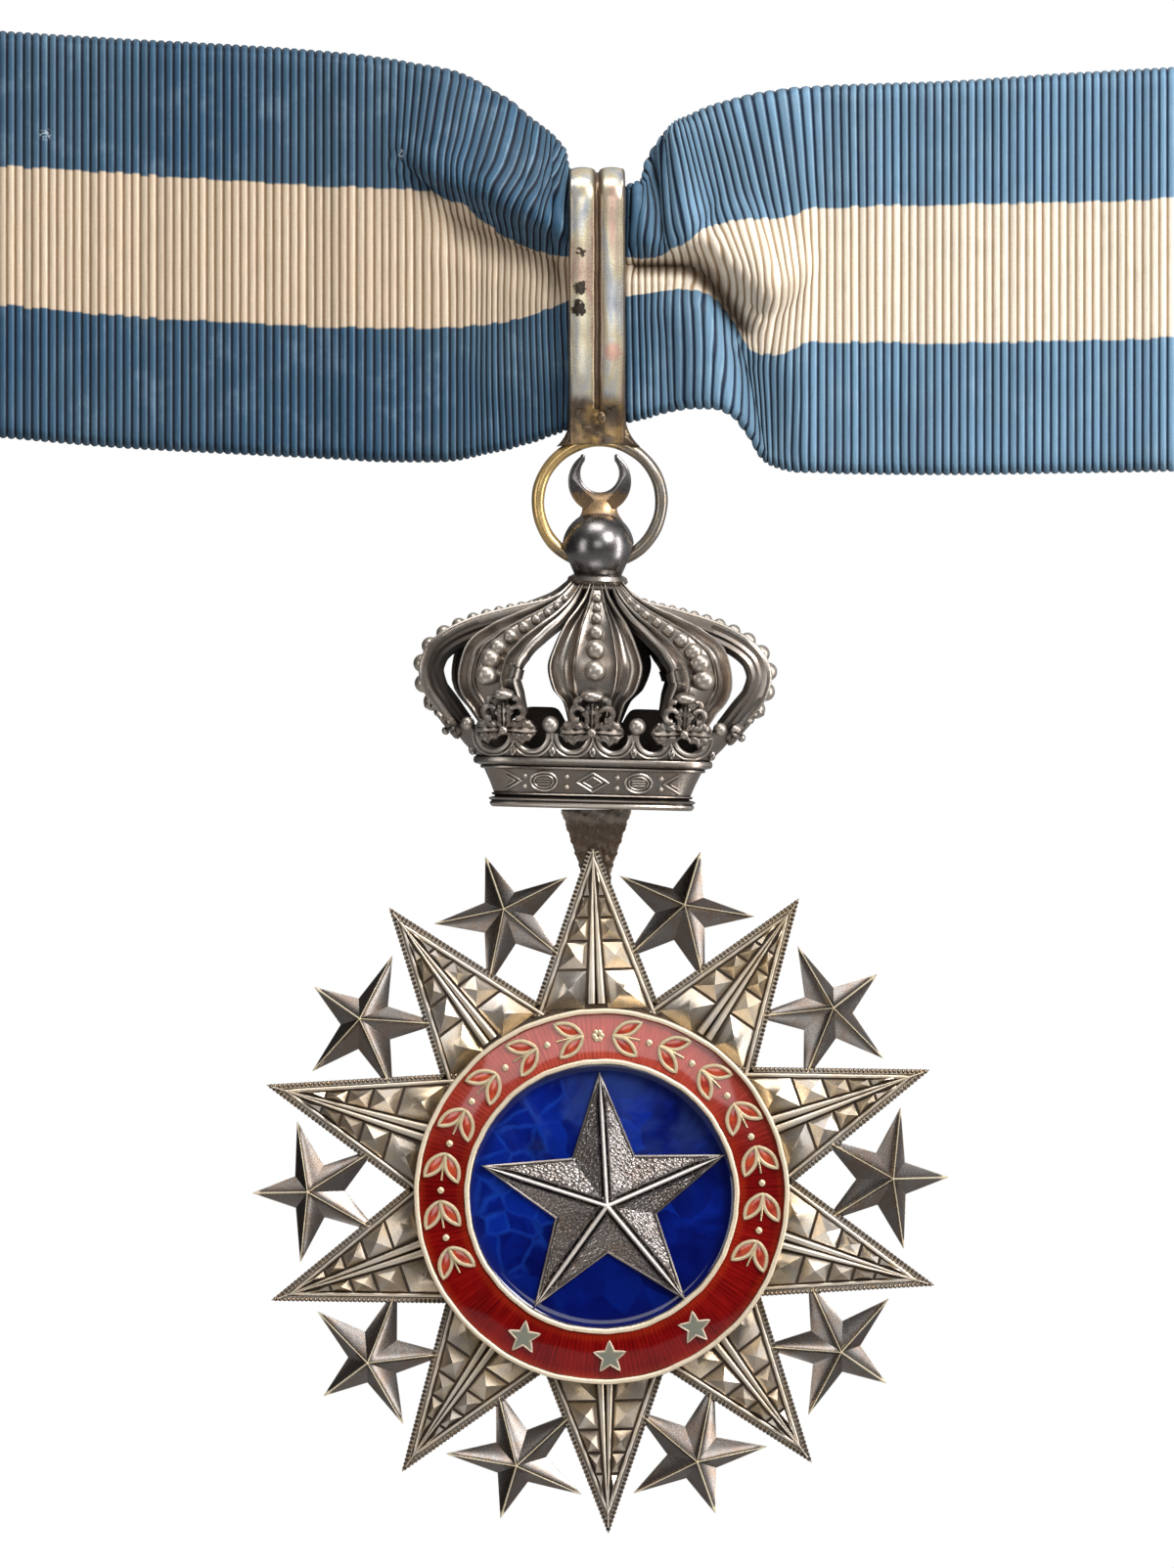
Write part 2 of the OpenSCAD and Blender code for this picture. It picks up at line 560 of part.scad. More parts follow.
module ray()
{
    groove = 0.15;
    for (hand = [-1, 1])
    {
        for (i = [0:len(ray_rows) - 2])
        {
            t1 = ray_rows[i] - groove;
            t0 = ray_rows[i + 1] + groove;
            inset = 0.012 * i * i;
            inner = [for (t = [t1, t0]) rib_half(t) + groove + inset];
            outer = [for (t = [t1, t0]) max(ray_half(t) - edge_strip - inset, rib_half(t) + groove + 0.12)];
            pyramid([
                [hand * inner[0], t1], [hand * outer[0], t1], [hand * outer[1], t0], [hand * inner[1], t0]
            ], 0.3 + 0.14 * i);
        }
        raised_edge(hand);
    }
    // Middle rib, a long ridge
    t0 = 17.2;
    t1 = star_r - 0.7;
    h0 = -plate_front - 1.75;
    polyhedron([
        [-rib_half(t0), -plate_front + weld, t0], [rib_half(t0), -plate_front + weld, t0],
        [0.12, -plate_front + weld, t1], [-0.12, -plate_front + weld, t1],
        [-rib_half(t0) * 0.7, h0, t0], [rib_half(t0) * 0.7, h0, t0], [0.06, -0.1, t1], [-0.06, -0.1, t1]
    ], [
        [0, 1, 2, 3], [7, 6, 5, 4], [4, 5, 1, 0], [5, 6, 2, 1], [6, 7, 3, 2], [7, 4, 0, 3]
    ]);
}
// Points of a star's outline, clockwise seen from the front, first tip up
function star_rim(r, inner) = [
    for (k = [0:9]) let (a = 90 - 36 * k, q = k % 2 == 0 ? r : inner) [q * cos(a), q * sin(a)]
];
// A ridged star over an outline about its peak, lying on depth back
module ridged(rim, back, edge, peak)
{
    n = len(rim);
    polyhedron(concat(
        [for (p = rim) [p[0], -back, p[1]]],
        [for (p = rim) [p[0], -edge, p[1]]],
        [[0, -peak, 0], [0, -back, 0]]
    ), [
        for (k = [0:n - 1]) let (k2 = (k + 1) % n) each [
            [k, k2, k2 + n], [k, k2 + n, k + n], [k + n, k2 + n, 2 * n], [k2, k, 2 * n + 1]
        ]
    ]);
}
module small_star()
{
    last = len(SMALL_STAR) - 1;
    ridged([
        for (k = [0:last]) [SMALL_STAR[k][1], SMALL_STAR[k][0]],
        for (k = [last - 1:-1:1]) [-SMALL_STAR[k][1], SMALL_STAR[k][0]],
    ], small_back, small_edge, small_edge + small_rise);
}

module ray_star()
{
    seat_r = medal_r + 0.06;
    color(silver) difference()
    {
        on_star() difference()
        {
            union()
            {
                plate(plate_back, plate_front) polygon([
                    for (k = [0:2 * ray_count - 1])
                        let (a = 90 + 18 * k, r = k % 2 == 0 ? star_r : valley_r) [r * cos(a), r * sin(a)]
                ]);
                for (k = [0:ray_count - 1]) rotate([0, 36 * k, 0]) ray();
                for (k = [0:ray_count - 1]) rotate([0, 36 * k + 18, 0])
                    translate([0, 0, small_orbit]) small_star();
            }
            translate([-3, -8, top_ray]) cube([6, 16, 3]);
        }
        on_medal() plate(plate_front, 6) rotate(2.5) circle(seat_r, $fn = 60);
    }
}

// Turns a section of radius and depth forwards into a ring about the medallion's axis
module turned() rotate([90, 0, 0]) rotate_extrude($fn = 120) children();

base_front = plate_front + gap;
enamel_floor = base_front + 0.9;
rim_front = plate_front + rim_h;
red_front = rim_front - 0.2;
blue_front = rim_front - 1.35;
red_inner = inner_rim_r + inner_wall + gap;
red_outer = medal_r - outer_wall - gap;
red_middle = (red_inner + red_outer) / 2;

module medallion_base()
{
    color(silver) on_medal() turned() polygon([
        [0, base_front], [medal_r, base_front], [medal_r, rim_front - 0.15], [medal_r - 0.15, rim_front],
        [medal_r - outer_wall, rim_front], [medal_r - outer_wall, enamel_floor],
        [inner_rim_r + inner_wall, enamel_floor],
        [inner_rim_r + inner_wall, rim_front], [inner_rim_r, rim_front], [inner_rim_r, enamel_floor - 0.4],
        [0, enamel_floor - 0.4]
    ]);
}

module red_enamel_ring()
{
    color(enamel_red) on_medal() turned() polygon([
        [red_inner, enamel_floor + gap], [red_outer, enamel_floor + gap], [red_outer, red_front],
        [red_inner, red_front]
    ]);
}

module blue_enamel_disc()
{
    color(enamel_blue) on_medal() turned() polygon([
        [0, enamel_floor - 0.4 + gap], [inner_rim_r - gap, enamel_floor - 0.4 + gap],
        [inner_rim_r - gap, blue_front], [0, blue_front]
    ]);
}

module centre_star()
{
    color(dark_silver) on_medal() translate([0.35, 0, -0.33]) rotate([0, -1.3, 0])
        ridged(star_rim(centre_star_r, 5.05), blue_front + gap, blue_front + gap + 0.35,
            blue_front + centre_star_h);
}

// Outline of a pointed leaf of length l and width w
module leaf(l, w)
{
    r = (l * l + w * w) / (4 * w);
    intersection()
    {
        translate([0, r - w / 2]) circle(r, $fn = 96);
        translate([0, w / 2 - r]) circle(r, $fn = 96);
    }
}
module gold_leaves()
{
    color(gilt) on_medal() plate(red_front + gap, red_front + 0.2)
    {
        for (hand = [-1, 1]) for (k = [0:leaf_pairs - 1]) for (out = [-1, 1])
            rotate(90 - hand * (10 + leaf_step * k)) translate([red_middle + 0.82 * out, 0])
                rotate(90 + hand * 32 * out) difference()
                {
                    leaf(3.1, 1.25);
                    leaf(2.3, 0.65);
                }
        for (hand = [-1, 1]) for (k = [0:leaf_pairs - 2])
            rotate(90 - hand * (10 + leaf_step * (k + 0.5))) translate([red_middle, 0]) circle(0.3, $fn = 24);
        translate([0, red_middle]) circle(0.6, $fn = 32);
    }
}

module ring_star(i)
{
    color(silver) on_medal() plate(red_front + gap, red_front + 0.3)
        rotate(ring_star_angles[i]) translate([red_middle, 0]) rotate(-ring_star_angles[i] + 8 * (i - 1))
        polygon(star_rim(1.57, 0.7));
}
module ring_star_1() ring_star(0);
module ring_star_2() ring_star(1);
module ring_star_3() ring_star(2);

ribbon();
suspension_loop();
orb_finial();
crown();
hanger_plate();
ray_star();
medallion_base();
red_enamel_ring();
blue_enamel_disc();
centre_star();
gold_leaves();
ring_star_1();
ring_star_2();
ring_star_3();
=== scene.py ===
"""Looks of an order's neck badge: ribbed ribbon, bail and ring, orb, crown and enamelled star."""
import math

import bmesh
import bpy
import numpy as np
from mathutils import Matrix, Vector


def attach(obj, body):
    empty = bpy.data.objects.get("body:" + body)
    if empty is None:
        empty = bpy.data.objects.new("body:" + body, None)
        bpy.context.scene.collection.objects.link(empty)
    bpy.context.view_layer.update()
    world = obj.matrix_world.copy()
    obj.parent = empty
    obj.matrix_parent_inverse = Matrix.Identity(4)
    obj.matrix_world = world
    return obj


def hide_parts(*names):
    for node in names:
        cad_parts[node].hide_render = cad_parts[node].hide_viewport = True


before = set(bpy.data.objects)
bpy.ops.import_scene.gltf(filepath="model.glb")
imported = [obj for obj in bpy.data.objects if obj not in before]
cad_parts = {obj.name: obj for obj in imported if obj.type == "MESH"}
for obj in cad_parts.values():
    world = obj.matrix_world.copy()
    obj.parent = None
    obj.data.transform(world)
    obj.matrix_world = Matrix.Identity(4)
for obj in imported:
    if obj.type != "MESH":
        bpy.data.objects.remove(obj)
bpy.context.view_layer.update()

bl_info = {"name": "Order insignia", "version": (1, 0, 0), "blender": (4, 5, 0),
    "location": "3D View > Sidebar > Insignia",
    "description": "Builds the pieces of a neck badge over its packed frame, in the frame's own millimetres",
    "category": "Object"}

MM = 0.001
# The front plane of the ribbon, in millimetres: depth is counted forwards from it, height from its middle
FRONT_Y = -55.0
FRONT_Z = -26.0

# Middles of the main pieces in the front plane, as (x, height)
RING_AT = (0.0, -21.83)
CRESCENT_AT = (0.0, -19.9)
ORB_AT = (-0.14, -26.13)
STAR_AT = (0.07, -86.45)
MEDAL_AT = (0.18, -87.45)
BORE_RISE = -1.07
CROWN_LEAN = 1.4
STAR_LEAN = 1.3
BAIL_X = -0.25


# Shapes

def points_of(*parts):
    """Points from their parts, each spread over the shape of the others."""
    return np.stack(np.broadcast_arrays(*parts), -1)


def front(points):
    """Turn (x, depth, height) in the front plane into the row's frame."""
    points = np.asarray(points, float)
    return points_of(points[..., 0], FRONT_Y - points[..., 1], points[..., 2] + FRONT_Z)


def unit(vectors):
    return vectors / np.maximum(np.linalg.norm(vectors, axis=-1, keepdims=True), 1e-12)


def lean(points, degrees, middle):
    """Turn points of the front plane clockwise about a middle (x, height)."""
    points = np.array(points, float)
    a = math.radians(degrees)
    x, z = points[..., 0].copy(), points[..., 2].copy()
    points[..., 0] = middle[0] + math.cos(a) * x + math.sin(a) * z
    points[..., 2] = middle[1] - math.sin(a) * x + math.cos(a) * z
    return points


def smooth_column(stops, values, at):
    """Read a table smoothly, without overshooting between its rows."""
    stops, values = np.asarray(stops, float), np.asarray(values, float)
    steps = np.diff(stops)
    slopes = np.diff(values) / steps
    tangents = np.zeros(len(values))
    tangents[1:-1] = np.where(slopes[:-1] * slopes[1:] > 0,
        2 * slopes[:-1] * slopes[1:] / (slopes[:-1] + slopes[1:] + 1e-30), 0)
    tangents[0], tangents[-1] = slopes[0], slopes[-1]
    at = np.clip(at, stops[0], stops[-1])
    i = np.clip(np.searchsorted(stops, at, side="right") - 1, 0, len(steps) - 1)
    t = (at - stops[i]) / steps[i]
    return ((2 * t**3 - 3 * t**2 + 1) * values[i] + (t**3 - 2 * t**2 + t) * steps[i] * tangents[i]
        + (3 * t**2 - 2 * t**3) * values[i + 1] + (t**3 - t**2) * steps[i] * tangents[i + 1])


def grid_faces(rows, columns, loop_rows=False, loop_columns=False):
    """Quads over a grid of points, numbered row by row."""
    i = np.arange(rows if loop_rows else rows - 1)[:, None]
    k = np.arange(columns if loop_columns else columns - 1)[None, :]
    i2, k2 = (i + 1) % rows, (k + 1) % columns
    quads = points_of(i * columns + k, i * columns + k2, i2 * columns + k2, i2 * columns + k)
    return [tuple(q) for q in quads.reshape(-1, 4).tolist()]


def volume_of(points, faces):
    total = 0.0
    for face in faces:
        a = points[face[0]]
        for j in range(1, len(face) - 1):
            total += np.dot(a, np.cross(points[face[j]], points[face[j + 1]]))
    return total / 6


class Work:
    """One piece as it is made up: points in millimetres, faces, how worn bright each point is, and how far it
    is darkened by grime and painted shade.
    """

    def __init__(self):
        self.points, self.faces, self.wear, self.spots, self.count = [], [], [], [], 0

    def add(self, points, faces, wear=0.5, spot=0.0):
        """Add a closed shape; its faces are turned outwards."""
        points = np.asarray(points, float)
        flat = points.reshape(-1, 3)
        faces = [tuple(f) for f in faces]
        if volume_of(flat, faces) < 0:
            faces = [f[::-1] for f in faces]
        self.points.append(flat)
        self.faces.extend(tuple(i + self.count for i in f) for f in faces)
        self.wear.append(np.broadcast_to(wear, points.shape[:-1]).reshape(-1))
        self.spots.append(np.broadcast_to(spot, points.shape[:-1]).reshape(-1))
        self.count += len(flat)

    def fit(self, place, shape, wear=0.5, spot=0.0):
        """Add a shape of points and faces whose points a function sets in their place."""
        points, faces = shape
        self.add(place(points), faces, wear, spot)

    def skin(self, rings, wear=0.5, spot=0.0):
        """Add closed rings of points, joined to each other and flat at both ends."""
        self.add(rings, capped(*rings.shape[:2]), wear, spot)

    def object(self, name, material, smooth=35.0):
        """The finished mesh object, in metres; edges sharper than the angle stay sharp."""
        return make_object(name, np.concatenate(self.points), self.faces, material, smooth,
            {"wear": np.concatenate(self.wear), "spot": np.concatenate(self.spots)})


def make_object(name, points, faces, material, smooth=35.0, values=None):
    mesh = bpy.data.meshes.new(name)
    mesh.from_pydata((np.asarray(points, float) * MM).tolist(), [], faces)
    for key, value in (values or {}).items():
        layer = mesh.attributes.new(key, "FLOAT", "POINT")
        layer.data.foreach_set("value", np.asarray(value, np.float32))
    mesh.materials.append(material)
    if smooth:
        mesh.shade_smooth()
        if smooth < 179:
            mesh.set_sharp_from_angle(angle=math.radians(smooth))
    mesh.update()
    piece = bpy.data.objects.new(name, mesh)
    bpy.context.scene.collection.objects.link(piece)
    return piece


def settle(piece, body, slot, *nodes):
    """Hand a finished piece to the frame: its body and the nodes it stands for; the slot is not used."""
    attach(piece, body)
    if nodes:
        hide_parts(*nodes)


def capped(rows, columns):
    """Faces of a tube of closed rings with a flat cap at each end."""
    return (grid_faces(rows, columns, loop_columns=True)
        + [tuple(range(columns))[::-1], tuple(range((rows - 1) * columns, rows * columns))])


def turned(profile, sides, closed=True):
    """Turn a profile of (radius, depth) about an axis that runs forwards."""
    profile = np.asarray(profile, float)
    a = np.linspace(0, 2 * math.pi, sides, endpoint=False)[:, None]
    points = points_of(profile[:, 0] * np.cos(a), profile[:, 1], profile[:, 0] * np.sin(a))
    return points, grid_faces(sides, len(profile), True, closed)


def disc(profile, sides):
    """Turn an open profile whose first and last points lie on the axis; the poles are single points."""
    profile = np.asarray(profile, float)
    ring = profile[1:-1]
    points, faces = turned(ring, sides, closed=False)
    n, flat = len(ring), points.reshape(-1, 3)
    flat = np.concatenate([flat, [[0, profile[0, 1], 0], [0, profile[-1, 1], 0]]])
    first, last = len(flat) - 2, len(flat) - 1
    for k in range(sides):
        k2 = (k + 1) % sides
        faces.append((k * n, first, k2 * n))
        faces.append((k * n + n - 1, k2 * n + n - 1, last))
    return flat, faces


def ball(middle, radius, rings=10, sides=16, squash=(1, 1, 1)):
    """A round bead about (x, depth, height), its poles up and down."""
    a = np.linspace(0, math.pi, rings + 1)[1:-1, None]
    b = np.linspace(0, 2 * math.pi, sides, endpoint=False)[None, :]
    body = points_of(np.sin(a) * np.cos(b), np.sin(a) * np.sin(b), np.cos(a) * np.ones_like(b)).reshape(-1, 3)
    points = np.concatenate([body, [[0, 0, 1], [0, 0, -1]]])
    points = points * np.asarray(squash) * radius + np.asarray(middle)
    rows, top, foot = rings - 1, len(body), len(body) + 1
    faces = grid_faces(rows, sides, loop_columns=True)
    for k in range(sides):
        k2 = (k + 1) % sides
        faces.append((k, k2, top))
        faces.append(((rows - 1) * sides + k2, (rows - 1) * sides + k, foot))
    return points, faces


def tube(path, radius, sides=8, closed=False, up=(0.0, 1.0, 0.0)):
    """A round wire along a path of points; radius may change along it."""
    path = np.asarray(path, float)
    n = len(path)
    if closed:
        along = unit(np.roll(path, -1, 0) - np.roll(path, 1, 0))
    else:
        along = unit(np.gradient(path, axis=0))
    side = unit(np.cross(along, np.asarray(up, float)))
    rise = np.cross(side, along)
    a = np.linspace(0, 2 * math.pi, sides, endpoint=False)
    r = np.broadcast_to(radius, n)[:, None, None]
    points = path[:, None] + r * (np.cos(a)[None, :, None] * side[:, None]
        + np.sin(a)[None, :, None] * rise[:, None])
    return points, (grid_faces(n, sides, True, True) if closed else capped(n, sides))


def cut_plate(outline, back, face, bevel=0.15):
    """A plate over a flat outline of (x, height), its front edge rounded over."""
    outline = np.asarray(outline, float)
    if np.sum(outline[:, 0] * np.roll(outline[:, 1], -1) - np.roll(outline[:, 0], -1) * outline[:, 1]) < 0:
        outline = outline[::-1]
    before, after = unit(outline - np.roll(outline, 1, 0)), unit(np.roll(outline, -1, 0) - outline)
    inward = unit(points_of(-(before + after)[:, 1], (before + after)[:, 0]))
    rings = [(0, back), (0, face - bevel), (0.3 * bevel, face - 0.3 * bevel), (bevel, face)]
    points = np.stack([points_of((outline + inward * i)[:, 0], d, (outline + inward * i)[:, 1])
        for i, d in rings])
    return points, capped(len(rings), len(outline))


# Shader and geometry node helpers

class Value:
    """An output of a node, which formulas add, subtract, multiply and divide like a number."""

    def __init__(self, socket):
        self.socket, self.tree = socket, socket.id_data

    def __add__(self, other):
        return calc("ADD", self, other)

    def __radd__(self, other):
        return calc("ADD", other, self)

    def __sub__(self, other):
        return calc("SUBTRACT", self, other)

    def __rsub__(self, other):
        return calc("SUBTRACT", other, self)

    def __mul__(self, other):
        return calc("MULTIPLY", self, other)

    def __truediv__(self, other):
        return calc("DIVIDE", self, other)


def put(tree, kind, values=None, **settings):
    """Add a node; a Value is linked to its input, and anything else is set there."""
    node = tree.nodes.new(kind)
    for key, value in settings.items():
        setattr(node, key, value)
    for key, value in (values or {}).items():
        if isinstance(value, Value):
            tree.links.new(value.socket, node.inputs[key])
        else:
            node.inputs[key].default_value = value
    return node


def made(kind, values=None, output=0, tree=None, **settings):
    """Add a node to the tree of its first Value, or to the tree given, and take one of its outputs."""
    tree = tree or next(value.tree for value in values.values() if isinstance(value, Value))
    return Value(put(tree, kind, values, **settings).outputs[output])


def calc(operation, *terms):
    return made("ShaderNodeMath", dict(enumerate(terms)), operation=operation)


def mix(share, a, b, way="MIX"):
    return made("ShaderNodeMix", {0: share, 6: a, 7: b}, output=2, data_type="RGBA", blend_type=way)


def step_up(value, low, high):
    """0 below low, 1 above high, smooth between."""
    limits = {"Value": value, "From Min": low, "From Max": high}
    return made("ShaderNodeMapRange", limits, interpolation_type="SMOOTHSTEP")


def step_down(value, low, high):
    """1 below low, 0 above high, smooth between."""
    return 1.0 - step_up(value, low, high)


def span(value, low, high, out_low, out_high):
    """Carry low to out_low and high to out_high, in a straight line between them."""
    limits = {"Value": value, "From Min": low, "From Max": high, "To Min": out_low, "To Max": out_high}
    return made("ShaderNodeMapRange", limits)


def noise(place, scale, detail=3.0, rough=0.55, twist=0.0):
    values = {"Vector": place, "Scale": scale, "Detail": detail, "Roughness": rough, "Distortion": twist}
    return made("ShaderNodeTexNoise", values)


def millimetres(tree):
    """The point on the piece, in millimetres of the frame."""
    place = made("ShaderNodeTexCoord", output="Object", tree=tree)
    return made("ShaderNodeVectorMath", {0: place, "Scale": 1 / MM}, operation="SCALE")


def parts_of(vector):
    """The three parts of a vector."""
    first = made("ShaderNodeSeparateXYZ", {0: vector})
    return [Value(output) for output in first.socket.node.outputs]


def joined(x, y, z):
    return made("ShaderNodeCombineXYZ", {0: x, 1: y, 2: z})


def from_medal(place):
    """How far right of, above and away from the medallion's middle the point is, in millimetres."""
    x, _, z = parts_of(place)
    x, z = x - MEDAL_AT[0], z - (MEDAL_AT[1] + FRONT_Z)
    return x, z, calc("SQRT", x * x + z * z)


def reading(tree, name):
    """The value of a point attribute of the mesh."""
    return made("ShaderNodeAttribute", output="Fac", tree=tree, attribute_name=name)


def shaken(place, values):
    """The point moved by up to a millimetre or so by coloured noise."""
    shake = made("ShaderNodeTexNoise", {"Vector": place, **values}, output="Color")
    return made("ShaderNodeVectorMath", {0: place, 1: shake}, operation="ADD")


def near(place, spot, radius, soft):
    """1 within the radius of a spot, fading to 0 over the soft distance."""
    away = made("ShaderNodeVectorMath", {0: place, 1: spot}, output="Value", operation="DISTANCE")
    return step_down(away, radius, radius + soft)


def new_material(name):
    """An empty material with its node tree and the point on the piece, in millimetres."""
    material = bpy.data.materials.new(name)
    material.use_nodes = True
    tree = material.node_tree
    tree.nodes.clear()
    return material, tree, millimetres(tree)


def finish_material(material, values):
    """Give a material its Principled shader, with these values on the shader's inputs."""
    tree = material.node_tree
    shader = put(tree, "ShaderNodeBsdfPrincipled", values)
    put(tree, "ShaderNodeOutputMaterial", {"Surface": Value(shader.outputs[0])})
    return material


def new_group(name, inputs, outputs, kind="GeometryNodeTree"):
    """An empty node group with named sockets; returns the tree and its inputs by name."""
    tree = bpy.data.node_groups.new(name, kind)
    types = {"value": "Float", "colour": "Color", "vector": "Vector", "mesh": "Geometry",
        "material": "Material", "count": "Int", "object": "Object"}
    for direction, sockets in (("INPUT", inputs), ("OUTPUT", outputs)):
        for label, sort, default in sockets:
            socket = tree.interface.new_socket(label, in_out=direction,
                socket_type="NodeSocket" + types[sort])
            if default is not None:
                socket.default_value = default
    given = tree.nodes.new("NodeGroupInput").outputs
    return tree, {label: Value(given[label]) for label, _, _ in inputs}


def finish_pieces(tree, pieces, material, name):
    """End a geometry node tree: make the copies real, give them their material and hand them out."""
    whole = made("GeometryNodeRealizeInstances", {"Geometry": pieces})
    covered = made("GeometryNodeSetMaterial", {"Geometry": whole, "Material": material})
    put(tree, "NodeGroupOutput", {name: covered})
    return tree


def apply_nodes(piece, tree, values):
    """Run a geometry node tree on a piece with named values and keep the result as a plain mesh."""
    modifier = piece.modifiers.new(tree.name, "NODES")
    modifier.node_group = tree
    for item in tree.interface.items_tree:
        if item.item_type == "SOCKET" and item.in_out == "INPUT" and item.name in values:
            modifier[item.identifier] = values[item.name]
    graph = bpy.context.evaluated_depsgraph_get()
    result = bpy.data.meshes.new_from_object(piece.evaluated_get(graph), depsgraph=graph)
    piece.modifiers.remove(modifier)
    old = piece.data
    piece.data = result
    bpy.data.meshes.remove(old)
    result.name = piece.name
    return piece


# Sizes and colours a user may change

def length(name, description, default, low, high):
    return bpy.props.FloatProperty(name=name, description=description, default=default * MM, min=low * MM,
        max=high * MM, precision=5, subtype="DISTANCE", unit="LENGTH")


def colour(name, description, value):
    return bpy.props.FloatVectorProperty(name=name, description=description, default=value, size=3, min=0.0,
        max=1.0, subtype="COLOR")


def count(name, description, value, low, high):
    return bpy.props.IntProperty(name=name, description=description, default=value, min=low, max=high)


class RibbonSettings(bpy.types.PropertyGroup):
    """Sizes and colours of the ribbon."""

    width: length("Width", "Width of the ribbon across its three stripes", 38.0, 30.0, 45.0)
    body: length("Body", "Thickness of the cloth between its ribs", 0.62, 0.4, 0.8)
    rib_pitch: length("Rib pitch", "Distance from rib to rib along the cloth", 0.778, 0.5, 1.2)
    rib_height: length("Rib height", "How far a rib stands out of its grooves", 0.21, 0.05, 0.3)
    # The two blues differ by painted shade: the shaded one is the left arm's silk as if turned from the light
    shaded_arm_blue: colour("Dark blue", "Blue silk of the less faded arm", (0.024, 0.070, 0.125))
    lit_arm_blue: colour("Light blue", "Blue silk of the faded arm", (0.135, 0.245, 0.352))
    cream: colour("Cream", "Silk of the middle stripe", (0.80, 0.70, 0.575))


class BailSettings(bpy.types.PropertyGroup):
    """Sizes and colours of the strap, ring, orb and crescent."""

    ring_radius: length("Ring radius", "Radius of the ring, to the middle of its wire", 5.83, 5.0, 7.0)
    wire_radius: length("Wire radius", "Radius of the ring's wire", 0.6, 0.4, 0.9)
    orb_radius: length("Orb radius", "Radius of the orb", 3.4, 3.0, 4.0)
    flute: length("Flute", "How far the strap's flutes stand over its groove", 0.5, 0.2, 0.7)
    silver: colour("Silver", "Worn silver of the strap", (0.66, 0.62, 0.55))
    gilding: colour("Gilding", "Gilt left on the ring and the crescent's foot", (0.62, 0.42, 0.17))
    dark: colour("Dark silver", "Toned silver of the orb and the crescent", (0.20, 0.19, 0.185))


class CrownSettings(bpy.types.PropertyGroup):
    """Sizes and colours of the crown."""

    arch_depth: length("Arch depth", "Thickness of an arch's cast metal", 1.3, 0.8, 1.8)
    rim_width: length("Rim width", "Width of the raised rim along an arch", 0.42, 0.2, 0.7)
    silver: colour("Silver", "Cast silver of the crown", (0.295, 0.268, 0.243))
    tarnish: colour("Tarnish", "Dark toning in the crown's hollows", (0.035, 0.028, 0.024))


class StarSettings(bpy.types.PropertyGroup):
    """Sizes and colours of the rayed star."""

    radius: length("Radius", "Radius of the star to the tips of its rays", 33.0, 30.0, 36.0)
    valley: length("Valley", "Radius of the valleys between the rays", 18.4, 16.0, 20.0)
    pyramid: length("Pyramid", "Height of the pyramids at a ray's foot", 0.85, 0.3, 1.2)
    small_rise: length("Small star rise", "Height of a small star's peak over its rim", 1.5, 0.8, 2.0)
    silver: colour("Silver", "Cut silver of the rays", (0.63, 0.575, 0.51))
    gilding: colour("Toning", "Golden toning of the cut silver", (0.56, 0.40, 0.20))
    tarnish: colour("Tarnish", "Dark toning in the grooves", (0.040, 0.032, 0.026))


class MedallionSettings(bpy.types.PropertyGroup):
    """Sizes and colours of the medallion."""

    radius: length("Radius", "Outer radius of the rim", 17.75, 16.0, 18.5)
    blue_radius: length("Blue radius", "Inner radius of the inner rim", 12.45, 11.0, 13.0)
    star_radius: length("Star radius", "Radius of the centre star to its tips", 12.15, 10.0, 12.3)
    turning: count("Engine turning", "Number of cuts turned under the red enamel", 230, 60, 400)
    red: colour("Red", "Red enamel", (0.15, 0.002, 0.002))
    blue: colour("Blue", "Blue enamel", (0.0006, 0.0035, 0.085))
    gilding: colour("Gilding", "Gilt wire of the leaves and rims", (0.58, 0.47, 0.30))


# Finishes

